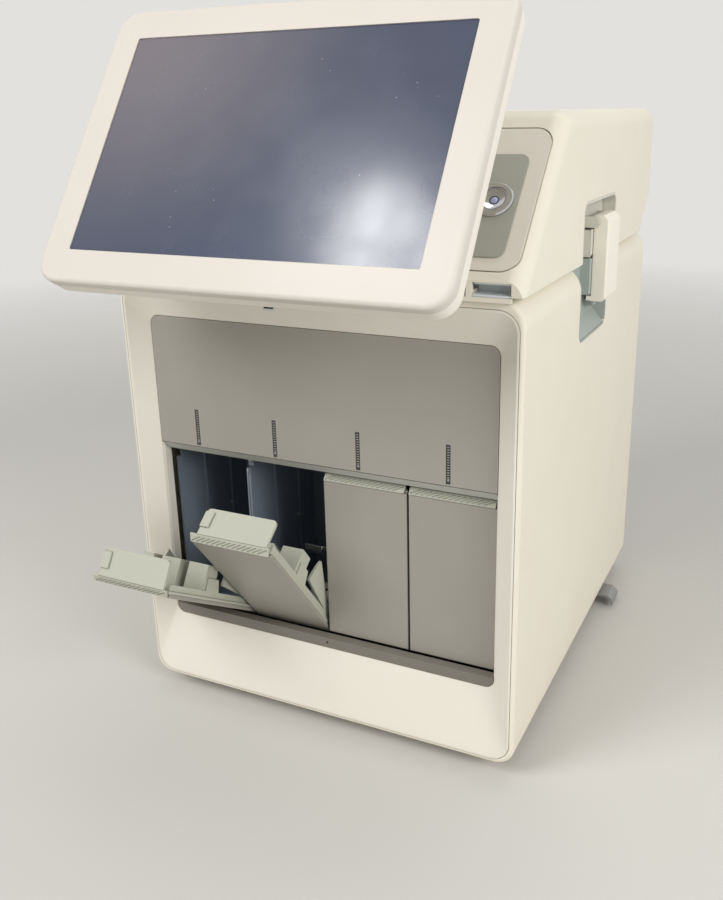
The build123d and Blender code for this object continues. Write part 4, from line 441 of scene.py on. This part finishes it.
def addScrew(form, centre, axis, radius):
    addTurned(form, [(radius * r, radius * h) for r, h in panHead], centre, axis, steps=24)


def placePiece(name, form, material, body, sharpDeg=35):
    bmesh.ops.recalc_face_normals(form, faces=form.faces)
    mesh = bpy.data.meshes.new(name)
    form.to_mesh(mesh)
    form.free()
    mesh.polygons.foreach_set("use_smooth", [True] * len(mesh.polygons))
    mesh.set_sharp_from_angle(angle=math.radians(sharpDeg))
    mesh.materials.append(material)
    piece = bpy.data.objects.new(name, mesh)
    bpy.context.scene.collection.objects.link(piece)
    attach(piece, body)


def boxMm(node):
    low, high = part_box(node)
    return Vector(low) / mm, Vector(high) / mm


def faceSpot(node, direction):
    # The middle of a node's outermost face in a direction
    direction = Vector(direction).normalized()
    low, high = boxMm(node)
    middle = (low + high) / 2
    reach = max(corner.co.dot(direction) for corner in nodes[node].data.vertices) / mm
    return middle + direction * (reach - middle.dot(direction))


# Status windows: a ladder of light guides in each one, with a lamp at its foot
ladder = {"windowWidth": 2.9, "rungs": 13, "pitch": 1.75, "rung": (1.7, 0.3, 0.75), "bevel": 0.12,
          "topDrop": 1.6, "proud": 0.05, "lampRise": 2.6,
          "lamp": ((0.95, 0), (0.9, 0.25), (0.6, 0.5), (0.02, 0.62))}
barLow, barHigh = boxMm("status_light_bars")
barPitch = (barHigh.x - barLow.x - ladder["windowWidth"]) / (moduleCount - 1)
rungForm = bmesh.new()
lampForm = bmesh.new()
for bar in range(moduleCount):
    middle = barLow.x + ladder["windowWidth"] / 2 + bar * barPitch
    for rung in range(ladder["rungs"]):
        height = barHigh.z - ladder["topDrop"] - rung * ladder["pitch"]
        addBar(rungForm, (middle, barLow.y - ladder["proud"], height), ladder["rung"], ladder["bevel"])
    lampSpot = (middle, barLow.y + ladder["proud"], barLow.z + ladder["lampRise"])
    addTurned(lampForm, ladder["lamp"], lampSpot, frontward, steps=20)
placePiece("statusRungs", rungForm, lightGuide, "case")
placePiece("statusLamps", lampForm, ledLens, "case")

# Power button: a shadow groove around the dish and a ringed lens at its centre
button = {"grooveRadius": 7.25, "grooveWidth": 0.3, "dishDepth": 1.6, "sink": 0.05, "ringInner": 2.3,
          "ringOuter": 3.4, "ringChamfer": 0.25, "ringHeights": (0.45, 0.5, 0.3),
          "lens": ((2.35, -0.05), (2.25, 0.35), (1.7, 0.62), (0.9, 0.76), (0.02, 0.8))}
buttonJoint = next(j for j in frame["joints"] if j["name"] == "power_button_press")
buttonOut = -Vector(buttonJoint["axis"])
buttonFace = faceSpot("power_button", buttonOut)
buttonDish = buttonFace - buttonOut * button["dishDepth"]
sink = button["sink"]
grooveIn = button["grooveRadius"]
grooveOut = grooveIn + button["grooveWidth"]
groove = [(grooveIn, -sink), (grooveIn, sink), (grooveOut, sink), (grooveOut, -sink)]
ringIn = button["ringInner"]
ringOut = button["ringOuter"]
innerTop, ringTop, outerTop = button["ringHeights"]
ring = [(ringIn, -sink), (ringIn, innerTop), (ringOut - button["ringChamfer"], ringTop),
        (ringOut, outerTop), (ringOut, -sink)]
ringForm = bmesh.new()
addTurned(ringForm, groove, buttonFace, buttonOut, hollow=True)
addTurned(ringForm, ring, buttonDish, buttonOut, hollow=True)
placePiece("buttonRings", ringForm, lensRing, "button")
lensForm = bmesh.new()
addTurned(lensForm, button["lens"], buttonDish, buttonOut)
placePiece("buttonLens", lensForm, buttonLens, "button")

# Sensor window in the sloping top face of the bezel
sensor = {"x": -27.0, "z": 318.0, "inset": 3.75, "slopeDeg": 66, "size": (7.0, 3.4, 0.8), "bevel": 0.38,
          "rim": (8.6, 4.8, 0.3), "rimBevel": 0.14}
sensorSpot = Vector((sensor["x"], boxMm("front_bezel")[0].y + sensor["inset"], sensor["z"]))
sensorTurn = Matrix.Rotation(math.radians(sensor["slopeDeg"]), 4, "X")
windowForm = bmesh.new()
addBar(windowForm, sensorSpot, sensor["size"], sensor["bevel"], sensorTurn)
placePiece("sensorWindow", windowForm, statusWindow, "case")
rimForm = bmesh.new()
addBar(rimForm, sensorSpot, sensor["rim"], sensor["rimBevel"], sensorTurn)
placePiece("sensorRim", rimForm, absSlot, "case")

# Bays: a dark bracket with a bright screw over each divider, a clip below it, rivets in the left walls
bays = {"pitch": 65.4, "bracket": (4.6, 1.0, 8.0), "bracketY": -112.35, "bracketZ": 195.4,
        "screwZ": 196.4, "screwRadius": 1.7, "clip": (1.4, 1.0, 3.4), "clipY": -117.6, "clipZ": 188.9,
        "bevel": 0.3, "wallX": -31.0, "rivetSpots": ((-52.8, 128.4), (-46.1, 124.8)),
        "rivet": ((1.2, 0.0), (1.02, 0.35), (0.48, 0.55), (0.024, 0.6))}
bracketForm = bmesh.new()
brightForm = bmesh.new()
clipSpots = []
for divider in range(1, moduleCount):
    dividerX = (divider - moduleCount / 2) * bays["pitch"]
    bracketDepth = bays["bracket"][1]
    bracketSpot = (dividerX, bays["bracketY"] - bracketDepth / 2, bays["bracketZ"])
    screwSpot = (dividerX, bays["bracketY"] - bracketDepth, bays["screwZ"])
    addBar(bracketForm, bracketSpot, bays["bracket"], bays["bevel"])
    addScrew(brightForm, screwSpot, frontward, bays["screwRadius"])
    clipSpots.append((dividerX, bays["clipY"], bays["clipZ"]))
for number in range(moduleCount):
    bayMiddle = (number - (moduleCount - 1) / 2) * bays["pitch"]
    for rivetY, rivetZ in bays["rivetSpots"]:
        rivetSpot = (bayMiddle + bays["wallX"], rivetY, rivetZ)
        addTurned(brightForm, bays["rivet"], rivetSpot, rightward, steps=16)
for clipSpot in clipSpots:  # last, since a bevel leaves the order of faces made after it to chance
    addBar(brightForm, clipSpot, bays["clip"], bays["bevel"])
placePiece("bayBrackets", bracketForm, bayPolycarbonate, "case")
placePiece("bayScrews", brightForm, brightSteel, "case")

# Latch recesses: a soft skin on each pad closes the gap behind the lever
skin = {"x": 146.2, "thick": 0.7, "y": (23.2, 66.0), "spans": ((308.5, 334.9), (337.1, 355.9)),
        "bevel": 0.2}
for side, sideName in ((1, "Right"), (-1, "Left")):
    skinForm = bmesh.new()
    for low, high in skin["spans"]:
        skinSpot = (side * (skin["x"] + skin["thick"] / 2), sum(skin["y"]) / 2, (low + high) / 2)
        skinSize = (skin["thick"], skin["y"][1] - skin["y"][0], high - low)
        addBar(skinForm, skinSpot, skinSize, skin["bevel"])
    placePiece(f"latchSkin{sideName}", skinForm, absWell, "case")

# Rear panel's corner screws, and a plain disc on the fan's hub
rear = {"screwX": 118, "screwZ": (33, 293), "screwRadius": 3.2, "faceY": 213.7}
rearForm = bmesh.new()
for x in (-rear["screwX"], rear["screwX"]):
    for z in rear["screwZ"]:
        addScrew(rearForm, (x, rear["faceY"], z), backward, rear["screwRadius"])
placePiece("rearScrews", rearForm, brightSteel, "case")
hub = {"disc": ((12.0, 0.0), (12.0, 0.12), (11.6, 0.2), (0.02, 0.22))}
fanLow, fanHigh = boxMm("fan_rotor")
fanMiddle = (fanLow + fanHigh) / 2
hubForm = bmesh.new()
addTurned(hubForm, hub["disc"], (fanMiddle.x, fanHigh.y, fanMiddle.z), backward)
placePiece("fanHubDisc", hubForm, zincSheet, "fan")
print("fittings built")

# Camera at the photograph's place
cameraView = {"place": (307.67, -657.41, 439.97), "turn": (71.743, 0.989, 25.384), "lens": 37.634,
              "sensor": 36, "shift": (-0.02659, -0.03298), "clip": (0.01, 50)}
cameraData = bpy.data.cameras.new("photoCamera")
cameraData.sensor_fit = "AUTO"
cameraData.sensor_width = cameraView["sensor"]
cameraData.lens = cameraView["lens"]
cameraData.shift_x, cameraData.shift_y = cameraView["shift"]
cameraData.clip_start, cameraData.clip_end = cameraView["clip"]
cameraObject = bpy.data.objects.new("photoCamera", cameraData)
cameraObject.location = Vector(cameraView["place"]) * mm
cameraObject.rotation_euler = [math.radians(a) for a in cameraView["turn"]]
bpy.context.scene.collection.objects.link(cameraObject)
bpy.context.scene.camera = cameraObject

# Soft boxes round the part, in metres and watts. The glare box shows only as the sheen on the screen.
# The key and fill boxes give no mirror image, which would white out the screen from the sides.
lamps = {"keyBox": {"place": (-1.1, -1.7, 1.7), "width": 1.3, "power": 32, "glossy": False},
         "fillBox": {"place": (1.9, -0.9, 1.1), "width": 1.2, "power": 27, "glossy": False},
         "topBox": {"place": (0.1, 0.5, 2.2), "width": 1.4, "power": 7},
         "glareBox": {"place": (-0.419, -0.752, 1.313), "width": 0.22, "power": 2.2, "diffuse": False}}
aimPoint = Vector((0, -0.05, 0.25))
for name, values in lamps.items():
    lamp = bpy.data.lights.new(name, "AREA")
    lamp.shape = "DISK"
    lamp.size = values["width"]
    lamp.energy = values["power"]
    lampObject = bpy.data.objects.new(name, lamp)
    lampObject.visible_diffuse = values.get("diffuse", True)
    lampObject.visible_glossy = values.get("glossy", True)
    lampObject.location = values["place"]
    aim = aimPoint - Vector(values["place"])
    lampObject.rotation_euler = aim.to_track_quat("-Z", "Y").to_euler()
    bpy.context.scene.collection.objects.link(lampObject)

# A pale backdrop that lights the part less than it shows, and a floor that fades out into it
studio = {"backdrop": "#E2E1DE", "skyLevel": 0.55, "floor": "#CFCDC8", "floorRoughness": 0.7,
          "floorZ": -0.0002, "fadeFrom": 0.8, "fadeTo": 2.2, "margin": 0.1}
world = bpy.data.worlds.new("paleStudio")
bpy.context.scene.world = world
world.use_nodes = True
worldTree = world.node_tree
worldTree.nodes.clear()
rays = addNode(worldTree, "ShaderNodeLightPath").outputs
seen = addNode(worldTree, "ShaderNodeMath", {"operation": "MAXIMUM"},
               {0: rays["Is Camera Ray"], 1: rays["Is Transmission Ray"]})
seenOrShiny = addNode(worldTree, "ShaderNodeMath", {"operation": "MAXIMUM"},
                      {0: seen.outputs[0], 1: rays["Is Glossy Ray"]})
level = addNode(worldTree, "ShaderNodeMapRange", None,
                {"Value": seenOrShiny.outputs[0], "To Min": studio["skyLevel"], "To Max": 1.0})
sky = addNode(worldTree, "ShaderNodeBackground", None,
              {"Color": linearColour(studio["backdrop"]), "Strength": level.outputs["Result"]})
addNode(worldTree, "ShaderNodeOutputWorld", None, {"Surface": sky.outputs[0]})

floorMaterial, floorTree = newMaterial("paleStudioFloor")
floorPlace = addNode(floorTree, "ShaderNodeTexCoord").outputs["Object"]
floorReach = addNode(floorTree, "ShaderNodeVectorMath", {"operation": "LENGTH"}, {0: floorPlace})
floorFade = addNode(floorTree, "ShaderNodeMapRange", None,
                    {"Value": floorReach.outputs["Value"], "From Min": studio["fadeFrom"],
                     "From Max": studio["fadeTo"]})
floorPaint = addNode(floorTree, "ShaderNodeBsdfPrincipled", None,
                     {"Base Color": linearColour(studio["floor"]),
                      "Roughness": studio["floorRoughness"]})
floorClear = addNode(floorTree, "ShaderNodeBsdfTransparent")
floorMix = addNode(floorTree, "ShaderNodeMixShader", None,
                   {0: floorFade.outputs["Result"], 1: floorPaint.outputs[0], 2: floorClear.outputs[0]})
addNode(floorTree, "ShaderNodeOutputMaterial", None, {"Surface": floorMix.outputs[0]})
floorMesh = bpy.data.meshes.new("studioFloor")
floorForm = bmesh.new()
floorRadius = studio["fadeTo"] + studio["margin"]
bmesh.ops.create_circle(floorForm, cap_ends=True, segments=64, radius=floorRadius)
floorForm.to_mesh(floorMesh)
floorForm.free()
floorMesh.materials.append(floorMaterial)
studioFloor = bpy.data.objects.new("studioFloor", floorMesh)
studioFloor.location.z = studio["floorZ"]
bpy.context.scene.collection.objects.link(studioFloor)
print("studio and camera set")

bpy.context.scene.view_settings.view_transform = "Standard"
